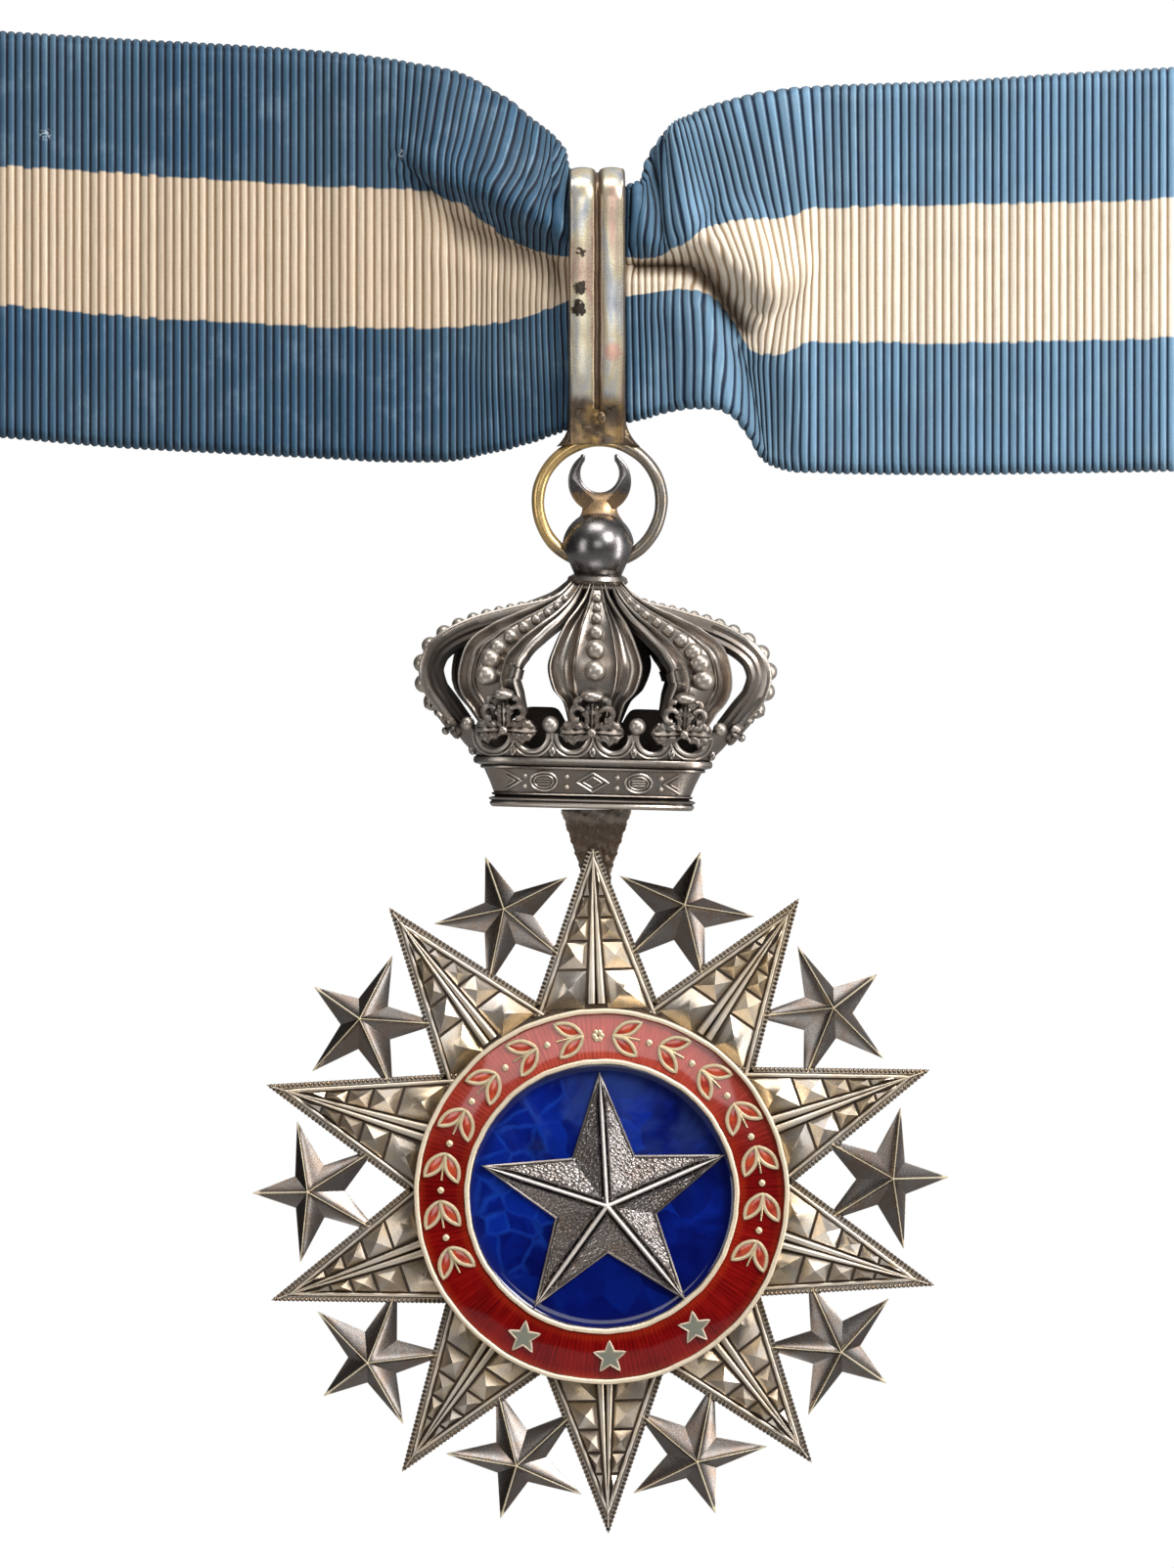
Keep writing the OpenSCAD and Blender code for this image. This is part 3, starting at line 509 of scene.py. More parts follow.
def aged_metal_group():
    """Toning, dark hollows, bright wear and fine scratches of old silver."""
    tree, get = new_group("Aged metal", [("Place", "vector", None), ("Metal", "colour", (0.6, 0.57, 0.52, 1)),
        ("Warm", "colour", (0.5, 0.36, 0.2, 1)), ("Tarnish", "colour", (0.04, 0.03, 0.025, 1)),
        ("Hollow", "value", 0.0), ("Wear", "value", 0.5), ("Warm share", "value", 0.3),
        ("Toning size", "value", 0.35), ("Dirt", "value", 0.5), ("Gloss", "value", 0.3),
        ("Scratches", "value", 0.5), ("Rubbed", "colour", (0.72, 0.67, 0.58, 1)), ("Rubbing", "value", 0.6),
        ("Grime", "value", 0.0), ("Sheen", "value", 1.0)],
        [("Colour", "colour", None), ("Roughness", "value", None), ("Height", "value", None),
        ("Metallic", "value", None)], "ShaderNodeTree")
    place = get["Place"]
    broad = noise(place, get["Toning size"], 3.0, 0.6, 0.6)
    patch = noise(place, get["Toning size"] * 5.5, 4.0, 0.65, 0.4)
    fine = noise(place, 9.0, 3.0, 0.6)
    grit = noise(place, 24.0, 2.0, 0.5)
    warm = step_up(broad * 0.65 + patch * 0.35, 0.40, 0.62) * get["Warm share"]
    metal = mix(warm, get["Metal"], get["Warm"])
    metal = mix(step_up(fine, 0.45, 0.75) * 0.28, metal, (0.20, 0.175, 0.15, 1), "MULTIPLY")
    # Dirt settles in hollows, patchily, and is rubbed off what stands proud
    rubbed = 1.15 - get["Wear"] * 0.9
    dirt = (get["Hollow"] + patch * 0.30) * rubbed
    dirt = step_up(dirt, 0.18, 0.80) * (0.5 + get["Dirt"])
    bright = step_up(get["Wear"] + (fine - 0.5) * 0.3, 0.62, 1.0) * get["Rubbing"]
    metal = mix(bright, metal, get["Rubbed"])
    # Each piece's spot values darken it towards the tarnish: grime, and painted shade where parts lie in
    # shadow
    dirt = calc("MINIMUM", calc("MAXIMUM", dirt, get["Grime"]), 0.97)
    metal = mix(dirt, metal, get["Tarnish"])
    stretched = made("ShaderNodeMapping", {"Vector": place, "Rotation": (0.3, 0.75, 0.2),
        "Scale": (1.2, 9.0, 26.0)})
    lines = noise(stretched, 1.0, 2.0, 0.6)
    scratch = step_up(lines, 0.60, 0.72) * get["Scratches"]
    rough = get["Gloss"] + (fine - 0.5) * 0.28
    rough = rough + scratch * 0.12
    rough = rough + dirt * 0.30
    rough = rough + bright * 0.14
    height = fine * 0.5 + grit * 0.25
    height = height - scratch * 0.35
    # Fine scratching scatters light off rubbed edges, so that they stay bright from every side
    put(tree, "NodeGroupOutput", {"Colour": metal, "Roughness": calc("MINIMUM", calc("MAXIMUM", rough, 0.06),
        0.9), "Height": height, "Metallic": get["Sheen"] - bright * 0.55})
    return tree


def opaque(values):
    return (*values, 1.0)


def hollowness(tree, reach, narrow=0.25, wide=0.95):
    """1 in a hollow and 0 on an open face, from how much of the surface within reach closes over a point."""
    values = {"Distance": reach * MM}
    open_share = made("ShaderNodeAmbientOcclusion", values, "AO", tree, samples=8, only_local=True)
    return step_down(open_share, narrow, wide)


def metal_material(name, metal, warm, tarnish, reach=0.8, warm_share=0.3, toning=0.25, dirt=0.5, gloss=0.3,
        scratches=0.5, grain=0.006, hollow_limits=(0.3, 0.95), colour_change=None, rubbed=(0.72, 0.67, 0.58),
        rubbing=0.6, stipple=0.0, sheen=1.0):
    """A material of aged silver over the shared group."""
    material, tree, place = new_material(name)
    metal_colour = opaque(metal)
    if colour_change:
        metal_colour = colour_change(place, metal_colour)
    wear = reading(tree, "wear")
    normal = {"Strength": 0.6, "Distance": grain * MM}
    if stipple:
        # The grains of the punched ground are rubbed bright on top
        dots = made("ShaderNodeTexVoronoi", {"Vector": place, "Scale": 3.0, "Randomness": 0.9}, "Distance")
        sunk = step_down(wear, 0.36, 0.48)
        wear = calc("MAXIMUM", wear, (0.92 - step_up(dots, 0.10, 0.42) * 0.92) * sunk)
        ground = {"Strength": 1.0, "Distance": stipple * MM, "Height": dots * sunk}
        normal["Normal"] = made("ShaderNodeBump", ground, invert=True)
    values = {"Place": place, "Metal": metal_colour, "Warm": opaque(warm), "Tarnish": opaque(tarnish),
        "Hollow": hollowness(tree, reach, *hollow_limits), "Wear": wear, "Warm share": warm_share,
        "Toning size": toning, "Dirt": dirt, "Gloss": gloss, "Scratches": scratches, "Rubbed": opaque(rubbed),
        "Rubbing": rubbing, "Grime": reading(tree, "spot"), "Sheen": sheen}
    aged = put(tree, "ShaderNodeGroup", values, node_tree=FINISHES["Aged metal"])
    colour_out, rough_out, height_out, metallic_out = (Value(output) for output in aged.outputs)
    bump = made("ShaderNodeBump", {**normal, "Height": height_out})
    return finish_material(material, {"Base Color": colour_out, "Roughness": rough_out,
        "Metallic": metallic_out, "Normal": bump})


def ribbon_material(size):
    """Ribbed silk in three stripes, stained in the cream; painted shade darkens the left arm, the blue beside
    the bail and the folds, and painted highlights run along the ribs.
    """
    material, tree, place = new_material("ribbed_silk")
    x = parts_of(place)[0]
    run, across = reading(tree, "run"), reading(tree, "across")
    rib = run / (size.rib_pitch / MM)
    number = calc("FLOOR", rib)
    each = made("ShaderNodeTexWhiteNoise", {"W": number}, noise_dimensions="1D")
    crest = calc("ABSOLUTE", calc("SINE", rib * math.pi))
    # Stripe edges step a little from rib to rib
    edge = across + (each - 0.5) * 0.007
    soft = 0.0035
    stripe = step_up(edge, 1 / 3 - soft, 1 / 3 + soft) * step_down(edge, 2 / 3 - soft, 2 / 3 + soft)
    broad = noise(place, 0.055, 3.0, 0.55, 0.3)
    patch = noise(place, 0.30, 4.0, 0.6)
    thread = noise(joined(run * 7.5, across * 14.0, 0.0), 1.0, 3.0, 0.6)
    speck = noise(joined(run * 3.2, across * 150.0, 0.0), 1.0, 2.0, 0.5)
    # Painted shade: the blue of the left arm is darker than the right arm's, and darkens towards the bail on
    # the right
    right = step_up(x, -4.0, 7.0)
    painted_light_off_bail = span(x, 3.0, 9.5, 0.25, 1.0)
    blue = mix(right * painted_light_off_bail, opaque(size.shaded_arm_blue), opaque(size.lit_arm_blue))
    blue = mix(step_up(broad, 0.42, 0.66) * 0.40, blue, (0.065, 0.115, 0.155, 1))
    blue = mix(step_up(patch, 0.50, 0.78) * 0.22, blue, (0.27, 0.37, 0.46, 1))
    # Painted shade: the cream of the left arm is darkened
    left_arm_shade = mix(right, (0.66, 0.60, 0.53, 1), (0.97, 0.955, 0.93, 1))
    cream = mix(1.0, opaque(size.cream), left_arm_shade, "MULTIPLY")
    cream = mix(step_up(patch, 0.48, 0.80) * 0.30, cream, (0.40, 0.315, 0.225, 1))
    cloth = mix(stripe, blue, cream)
    shade = 0.80 + each * 0.30
    shade = shade * (0.72 + thread * 0.56)
    shade = shade * (0.90 + speck * 0.20)
    # The far side of each rib catches the light; the groove beside it stays dark
    across_rib = calc("FRACT", rib)
    lit = step_up(across_rib, 0.60, 0.74) * step_down(across_rib, 0.80, 0.90)
    lit = lit * span(patch, 0.35, 0.65, 0.20, 0.62)
    lit = lit * span(x, -22.0, 4.0, 0.50, 1.0)
    cloth = mix(lit, cloth, mix(stripe, (0.27, 0.40, 0.50, 1), (0.95, 0.87, 0.76, 1)))
    groove = span(crest, 0.28, 0.72, 0.0, 1.0)
    depth = mix(stripe, (0.03, 0.06, 0.11, 1), (0.48, 0.39, 0.29, 1))
    cloth = mix(1.0 - groove, cloth, mix(1.0, cloth, depth, "MULTIPLY"))
    cloth = mix(1.0, cloth, joined(shade, shade, shade), "MULTIPLY")
    # Painted shade darkens the folds and hollows of the cloth
    folded = hollowness(tree, 3.2, 0.25, 0.85) * 0.85
    cloth = mix(folded, cloth, mix(1.0, cloth, (0.26, 0.21, 0.17, 1), "MULTIPLY"))
    for fleck in ((-52.4, 12.9), (-18.5, 11.1)):
        spot = near(place, (fleck[0], FRONT_Y - 0.4, fleck[1] + FRONT_Z), 0.35, 0.35)
        spot = spot * step_up(speck, 0.45, 0.6)
        cloth = mix(spot * 0.8, cloth, (0.40, 0.45, 0.48, 1))
    height = thread * 0.8 + speck * 0.35
    bump = made("ShaderNodeBump", {"Strength": 0.7, "Distance": 0.05 * MM, "Height": height})
    rough = span(thread, 0.2, 0.8, 0.50, 0.68)
    return finish_material(material, {"Base Color": cloth, "Roughness": rough, "Metallic": 0.0,
        "Normal": bump, "Specular IOR Level": 0.22, "Sheen Weight": 0.10, "Sheen Roughness": 0.35,
        "Sheen Tint": (0.75, 0.86, 1.0, 1.0)})


def bail_material(size):
    """Worn silver strap with straw and pink toning, a brown groove, black pits, one coppery spot, and painted
    shade along its sides.
    """
    def change(place, metal):
        x, _, z = parts_of(place)
        drawn_out = made("ShaderNodeMapping", {"Vector": place, "Scale": (1.0, 1.0, 0.22)})
        streak = noise(drawn_out, 0.55, 4.0, 0.6, 0.5)
        film = put(place.tree, "ShaderNodeValToRGB", {0: streak})
        stops = film.color_ramp.elements
        stops[0].position, stops[0].color = 0.30, (0.26, 0.31, 0.39, 1)
        stops[1].position, stops[1].color = 0.70, (0.44, 0.23, 0.17, 1)
        for at, tint in ((0.42, (0.52, 0.51, 0.47, 1)), (0.51, (0.62, 0.55, 0.36, 1)),
                (0.60, (0.54, 0.40, 0.31, 1))):
            stops.new(at).color = tint
        metal = mix(0.92, metal, Value(film.outputs[0]))
        groove = step_down(calc("ABSOLUTE", x + 0.20), 0.28, 0.80)
        metal = mix(groove * 0.92, metal, (0.10, 0.055, 0.03, 1))
        ragged = shaken(place, {"Scale": 2.2})
        for px, pz, r in ((-1.85, -1.67, 0.30), (-2.05, -3.6, 0.36), (-1.8, 1.75, 0.10)):
            pit = near(ragged, (px + 0.5, -58.3, pz + 0.5 + FRONT_Z), r + 0.42, 0.14)
            metal = mix(pit, metal, (0.02, 0.015, 0.012, 1))
        metal = mix(near(place, (1.2, -58.8, -7.7 + FRONT_Z), 0.6, 0.7), metal, (0.60, 0.36, 0.28, 1))
        solder = step_down(z + streak * 1.6, -38.0, -36.6)
        lumpy = step_up(noise(place, 0.5, 3.0, 0.6), 0.42, 0.66)
        gold = mix(lumpy, (0.06, 0.038, 0.024, 1), (0.30, 0.18, 0.06, 1))
        metal = mix(solder * 0.95, metal, gold)
        # Painted shade darkens the strap's side walls
        side = step_up(calc("ABSOLUTE", x + 0.25), 2.15, 2.6)
        return mix(side * 0.85, metal, (0.09, 0.06, 0.04, 1))
    return metal_material("worn_strap_silver", size.silver, (0.5, 0.36, 0.2), (0.05, 0.035, 0.025), reach=0.9,
        warm_share=0.10, toning=0.5, dirt=0.35, gloss=0.27, scratches=0.9, grain=0.008,
        hollow_limits=(0.1, 0.8), colour_change=change, rubbed=size.silver, rubbing=0.0, sheen=0.62)


def ring_material(size):
    """Gilding left on the ring's upper left and rubbed down to dark silver on the right."""
    def change(place, metal):
        x, _, z = parts_of(place)
        gilt_left = x * -0.13 + (z + 47.8) * 0.07
        patch = noise(place, 0.9, 3.0, 0.6)
        gilt_left = step_up(gilt_left + patch, 0.25, 0.95)
        return mix(gilt_left, (0.22, 0.20, 0.18, 1), opaque(size.gilding))
    return metal_material("ring_gilding", size.gilding, (0.34, 0.24, 0.12), (0.05, 0.04, 0.03), reach=0.7,
        warm_share=0.35, toning=0.8, dirt=0.45, gloss=0.26, scratches=0.7, grain=0.008,
        hollow_limits=(0.2, 0.9), colour_change=change, rubbed=(0.70, 0.52, 0.26), rubbing=0.0, sheen=0.75)


def finial_material(size):
    """Polished dark toning on the orb and crescent, with gilt solder at the crescent's foot."""
    def change(place, metal):
        _, _, z = parts_of(place)
        patch = noise(place, 1.3, 3.0, 0.6)
        level = z + (patch - 0.5) * 1.2
        foot = step_up(level, -49.1, -48.8) * step_down(level, -47.2, -46.7)
        return mix(foot, metal, (0.50, 0.31, 0.15, 1))
    return metal_material("dark_polished_silver", size.dark, (0.15, 0.13, 0.13), (0.05, 0.045, 0.042),
        warm_share=0.5, toning=0.45, dirt=0.2, gloss=0.27, scratches=0.8, grain=0.004,
        hollow_limits=(0.15, 0.8), colour_change=change, rubbed=(0.36, 0.23, 0.11), rubbing=0.5)


# Ribbon

# A row for each section of the gathered front, by x where it crosses the cream stripe's upper edge:
# heights of the top edge, of the stripe's two edges and of the bottom edge, then how far it stands
# towards +x at SHARES of its way down
SHARES = np.array([0, 1 / 6, 1 / 4, 1 / 3, 1 / 2, 2 / 3, 5 / 6, 1])
OUTLINE = np.array([(-57.6, 22.6, 10.0, -3.1, -15.5, 0, 0, 0, 0, 0, 0, 0, 0),
    (-44.7, 21.8, 9.2, -4.3, -16.6, 0, 0, 0, 0, 0, 0, 0, 0),
    (-35.4, 21.3, 8.6, -4.8, -17.1, 0, 0, 0, 0, 0, 0, 0, 0),
    (-25.5, 20.6, 8.0, -5.3, -17.6, 0, 0, 0, 0, 0, 0, 0, 0),
    (-19.7, 19.9, 7.8, -5.4, -17.9, 0.1, 0, 0, 0, 0, 0, 0, 0),
    (-17.6, 19.5, 7.7, -5.4, -17.9, 0.2, -0.15, -0.25, 0, 0.1, 0.1, 0.1, 0.1),
    (-16.0, 19.2, 7.6, -5.4, -17.9, 0.45, -0.2, -0.5, 0, 0.35, 0.4, 0.4, 0.4),
    (-14.5, 18.8, 7.05, -5.3, -17.8, 0.9, 0.1, -0.35, 0, 0.6, 0.7, 0.7, 0.7),
    (-12.9, 18.1, 6.7, -5.2, -17.5, 1.05, 0.05, -0.65, 0, 0.65, 0.7, 0.7, 0.7),
    (-11.5, 17.0, 5.5, -5.05, -17.2, 1.55, 0.15, -0.65, 0, 0.4, 0.4, 0.45, 0.5),
    (-10.4, 16.2, 4.7, -4.95, -17.0, 1.85, 0.5, -0.55, 0, 0.2, 0.2, 0.3, 0.4),
    (-9.3, 14.9, 3.9, -4.8, -16.8, 2.3, 1.0, -0.4, 0, 0.1, 0.1, 0.25, 0.4),
    (-8.0, 13.9, 3.2, -4.5, -16.4, 2.3, 1.25, -0.2, 0, 0.1, 0.1, 0.25, 0.4),
    (-6.5, 12.9, 2.5, -4.1, -16.0, 2.05, 1.0, 0.1, 0, 0.1, 0.1, 0.25, 0.4),
    (-5.2, 11.6, 2.1, -3.6, -15.5, 1.85, 0.35, 0.1, 0, 0, 0, 0.2, 0.4),
    (-4.2, 10.5, 1.85, -3.3, -15.2, 1.05, 0.1, 0, 0, 0, 0, 0.15, 0.3),
    (-3.4, 9.6, 1.65, -3.0, -14.9, 0.5, 0.1, 0, 0, 0, 0, 0.1, 0.2),
    (-2.6, 8.2, 1.5, -2.7, -14.5, 0, 0, 0, 0, 0, 0, 0, 0),
    (1.9, 7.9, 1.5, -2.3, -14.3, 0, 0, 0, 0, 0, 0, 0, 0),
    (2.9, 8.2, 1.55, -2.25, -14.1, 0.2, 0.1, 0, 0, 0, 0, 0.1, 0.2),
    (3.7, 8.5, 1.5, -2.15, -13.9, 0.15, 0.15, 0.1, 0, 0, 0, 0.15, 0.3),
    (4.6, 9.2, 1.55, -2.05, -13.7, -0.45, 0.2, 0.1, 0, 0, 0, 0.1, 0.2),
    (5.2, 10.2, 1.6, -1.95, -13.5, -0.85, 0.2, 0.15, 0, 0, 0, 0.1, 0.15),
    (6.0, 11.7, 1.8, -1.85, -13.27, -0.85, 0, 0.05, 0, 0.05, 0, 0.15, 0.25),
    (6.9, 12.9, 2.3, -1.8, -13.05, -0.85, -0.55, -0.35, 0, 0.3, 0.2, 0.4, 0.45),
    (7.9, 13.6, 2.75, -1.9, -12.9, -1.3, -0.75, -0.4, 0, 0.55, 0.5, 0.8, 0.8),
    (9.5, 14.2, 3.5, -2.85, -12.95, -2.1, -0.95, -0.5, 0, 1.1, 1.1, 1.35, 1.25),
    (11.0, 14.6, 4.0, -5.1, -13.78, -2.6, -1.3, -0.65, 0, 1.8, 1.45, 1.75, 1.65),
    (12.4, 15.2, 4.45, -6.9, -15.5, -2.75, -1.35, -0.7, 0, 1.8, 1.3, 1.65, 1.65),
    (13.8, 15.7, 4.7, -7.5, -17.25, -2.8, -1.35, -0.7, 0, 1.5, 0.9, 1.15, 1.25),
    (15.2, 16.1, 4.75, -7.75, -18.12, -2.75, -1.35, -0.7, 0, 1.1, 0.5, 0.65, 0.8),
    (16.3, 16.5, 4.9, -7.85, -18.45, -2.4, -1.2, -0.6, 0, 0.95, 0.35, 0.4, 0.45),
    (17.3, 16.8, 5.0, -7.8, -18.68, -2.0, -1.0, -0.5, 0, 0.65, 0.2, 0.2, 0.2),
    (18.4, 17.0, 5.3, -7.3, -18.85, -1.6, -0.8, -0.4, 0, 0.4, 0.1, 0.1, 0),
    (19.2, 17.2, 5.7, -6.9, -18.9, -1.15, -0.55, -0.3, 0, 0.25, 0, 0, 0),
    (20.3, 17.3, 5.9, -6.75, -18.9, -0.7, -0.35, -0.2, 0, 0.1, 0, 0, 0),
    (22.5, 17.45, 6.05, -6.7, -19.0, -0.2, -0.1, -0.05, 0, 0, 0, 0, 0),
    (32.6, 17.8, 6.3, -6.8, -19.1, 0, 0, 0, 0, 0, 0, 0, 0),
    (44.0, 18.55, 6.5, -6.6, -18.95, 0, 0, 0, 0, 0, 0, 0, 0),
    (57.6, 19.3, 7.0, -6.2, -18.7, 0, 0, 0, 0, 0, 0, 0, 0)])
# A row for each fold: from x and height to x and height, how far it stands forward, its reach to the
# left and to the right of that line, and how far it runs out past its ends
FOLDS = np.array([(-14.5, 9.2, -3.2, 4.2, 2.5, 8.5, 2.2, 6.5), (-12.5, 4.4, -2.9, 0.4, -1.5, 1.6, 4.2, 4.5),
    (-10.5, 18.8, -3.4, 12.8, -1.9, 3.2, 4.6, 5.0), (-7.5, -10.2, -2.9, -8.6, 0.7, 5.5, 5.5, 6.0),
    (5.4, 3.2, 8.2, 3.1, 1.9, 6.5, 1.8, 2.9), (11.0, 2.5, 15.5, -1.7, 2.9, 6.5, 1.8, 2.9),
    (3.2, 0.6, 7.4, 0.6, -1.8, 1.2, 1.8, 3.0), (10.3, -0.6, 13.3, -5.0, -2.2, 1.9, 2.0, 3.0),
    (5.2, 11.6, 6.2, 3.8, -1.6, 1.0, 2.4, 2.2), (7.3, 12.8, 7.9, 5.0, 0.9, 3.6, 1.1, 2.4),
    (9.6, -3.8, 12.2, -13.4, 1.6, 2.0, 6.0, 3.0), (14.0, -9.4, 15.8, -17.0, -1.1, 4.2, 1.7, 3.0)])
# Finer pleats that only the visual cloth has, in the same columns
PLEATS = np.array([(3.4, 7.6, 3.2, 2.8, 0.35, 0.5, 0.5, 1.2), (-4.6, 10.2, -4.4, 4.2, -0.5, 0.5, 0.7, 2.0),
    (-6.0, 12.0, -6.6, 5.6, 0.3, 0.9, 0.8, 2.6), (-9.6, 7.0, -4.0, 3.7, 0.6, 2.4, 0.8, 3.0),
    (-18.8, 10.8, -15.8, 8.3, -0.6, 0.8, 0.9, 1.5), (13.7, 4.4, 16.4, -0.9, 0.55, 1.1, 2.0, 2.2),
    (6.6, -6.0, 7.0, -12.6, -0.35, 1.4, 1.6, 3.0), (-11.6, 9.2, -10.6, 8.0, -0.3, 0.6, 0.6, 1.0),
    (-23.0, 19.0, -22.2, -17.0, 0.35, 2.6, 3.4, 6.0), (22.0, 15.0, 26.0, -16.0, -0.4, 4.5, 6.0, 5.0)])
# How far to each side the gathered front reaches, and the width of cloth that its heights are given for
FRONT_END, OUTLINE_WIDTH = 57.6, 38.0
LOOP_HALF_WIDTH, LOOP_DEPTH, LOOP_RISE, NAPE_LEAN, CLIMB_END = 77.0, 110.0, 52.0, 15.0, 0.64
RING_POINTS, FACE_POINTS = 68, 49


def hump(t):
    return np.where(np.abs(t) < 1, (1 + np.cos(math.pi * np.clip(t, -1, 1))) / 2, 0)


def fold_depth(folds, x, z):
    """How far the folds push the cloth forwards."""
    total = np.zeros(np.broadcast(x, z).shape)
    for x0, z0, x1, z1, out, left, right, past in folds:
        run = math.hypot(x1 - x0, z1 - z0)
        dx, dz = (x1 - x0) / run, (z1 - z0) / run
        along = (x - x0) * dx + (z - z0) * dz
        across = (z - z0) * dx - (x - x0) * dz
        beyond = np.maximum(0, np.maximum(-along, along - run))
        total += out * hump(beyond / past) * hump(across / np.where(across > 0, left, right))
    return total


def smooth_across(values, v):
    """Values given at SHARES of the way down a section, carried smoothly to the shares v."""
    slope = np.gradient(values, SHARES, axis=1)
    k = np.clip(np.searchsorted(SHARES, v, side="right") - 1, 0, len(SHARES) - 2)
    gap = SHARES[k + 1] - SHARES[k]
    t = (v - SHARES[k]) / gap
    ease = 3 * t**2 - 2 * t**3
    return ((1 - ease) * values[:, k] + (t**3 - 2 * t**2 + t) * gap * slope[:, k] + ease * values[:, k + 1]
        + (t**3 - t**2) * gap * slope[:, k + 1])


def front_run(x, v, width):
    """Middle of the cloth where it is gathered; v runs from the top edge, 0, to the bottom edge, 1."""
    x, v = x[:, None], v[None, :]
    columns = [smooth_column(OUTLINE[:, 0], OUTLINE[:, c], x) * width / OUTLINE_WIDTH for c in (1, 2, 3, 4)]
    band = np.clip(np.floor(v * 3), 0, 2)
    share = v * 3 - band
    high = np.where(band == 0, columns[0], np.where(band == 1, columns[1], columns[2]))
    low = np.where(band == 0, columns[1], np.where(band == 1, columns[2], columns[3]))
    z = high + (low - high) * share
    aside = np.stack([smooth_column(OUTLINE[:, 0], OUTLINE[:, c], x[:, 0]) for c in range(5, 13)], 1)
    at = x + smooth_across(aside, v[0])
    depth = fold_depth(FOLDS, at, z) + fold_depth(PLEATS, at, z)
    held = hump(np.maximum(0, np.abs(x - BAIL_X) - 2.65) / 1.2)
    depth = depth + (np.clip(0.55 * depth, -1.35, 1.35) - depth) * held
    return points_of(at, FRONT_Y - depth, z + FRONT_Z)


def side_run(share, v, hand, width):
    """Middle of the cloth from a front end round the side to the nape, at shares of that length."""
    corner = LOOP_HALF_WIDTH - FRONT_END
    a = np.radians(np.linspace(0, 90, 120))
    turn_xy = points_of(FRONT_END + corner * np.sin(a), corner - corner * np.cos(a) - LOOP_DEPTH / 2, a)
    b = np.radians(np.linspace(0, 90, 400))[1:]
    deep = LOOP_DEPTH - corner
    oval = points_of(LOOP_HALF_WIDTH * np.cos(b), corner - LOOP_DEPTH / 2 + deep * np.sin(b),
        np.arctan2(deep * np.cos(b), -LOOP_HALF_WIDTH * np.sin(b)))
    plan = np.concatenate([turn_xy, oval])
    run = np.concatenate([[0], np.cumsum(np.linalg.norm(np.diff(plan[:, :2], axis=0), axis=1))])
    whole = run[-1]
    row = OUTLINE[-1] if hand > 0 else OUTLINE[0]
    start, slope = (row[1] + row[4]) / 2, 0.04 if hand > 0 else 0.06
    # The shares count the cloth's own length, which is more than the plan's where it climbs
    fine = np.linspace(0, 1, 600)
    w = np.minimum(1, fine / CLIMB_END)
    steep = (LOOP_RISE - start) * 6 * (w - w**2) / whole / CLIMB_END + slope * (3 * w**2 - 4 * w + 1)
    cloth = np.concatenate([[0], np.cumsum(np.sqrt(1 + steep[1:]**2) * whole / 599)])
    u = np.interp(share * cloth[-1], cloth, fine)
    px, py, pa = (np.interp(u * whole, run, plan[:, c])[:, None] for c in range(3))
    u = u[:, None]
    w = np.minimum(1, u / CLIMB_END)
    climb = (start + (LOOP_RISE - start) * (3 * w**2 - 2 * w**3)
        + slope * whole * CLIMB_END * (w**3 - 2 * w**2 + w))
    rise = np.arctan((LOOP_RISE - start) * 6 * (w - w**2) / whole / CLIMB_END
        + slope * (3 * w**2 - 4 * w + 1))
    tip = np.radians(NAPE_LEAN) * (3 * u**2 - 2 * u**3)
    across = (0.5 - v[None, :]) * width
    up = points_of(-np.cos(tip) * np.sin(rise) * np.cos(pa) - np.sin(tip) * np.sin(pa),
        -np.cos(tip) * np.sin(rise) * np.sin(pa) + np.sin(tip) * np.cos(pa), np.cos(tip) * np.cos(rise))
    middle = points_of(px, py, climb - LOOP_RISE / 2)
    points = middle + across[..., None] * up
    return points * np.array([hand, 1, 1]), cloth[-1]


def rib_tree():
    """Geometry nodes that press the grooves between ribs into the cloth, by its length."""
    tree, get = new_group("Ribs of the silk", [("Cloth", "mesh", None), ("Rib Pitch", "value", 0.000778),
        ("Rib Height", "value", 0.00017), ("Silk", "material", None)], [("Cloth", "mesh", None)])
    run = made("GeometryNodeInputNamedAttribute", {"Name": "run"}, tree=tree, data_type="FLOAT")
    turns = run * MM / get["Rib Pitch"]
    crest = calc("ABSOLUTE", calc("SINE", turns * math.pi))
    lift = calc("POWER", crest, 0.65) * get["Rib Height"]
    offset = made("ShaderNodeVectorMath", {0: made("GeometryNodeInputNormal", tree=tree), "Scale": lift},
        operation="SCALE")
    moved = made("GeometryNodeSetPosition", {"Geometry": get["Cloth"], "Offset": offset})
    return finish_pieces(tree, moved, get["Silk"], "Cloth")


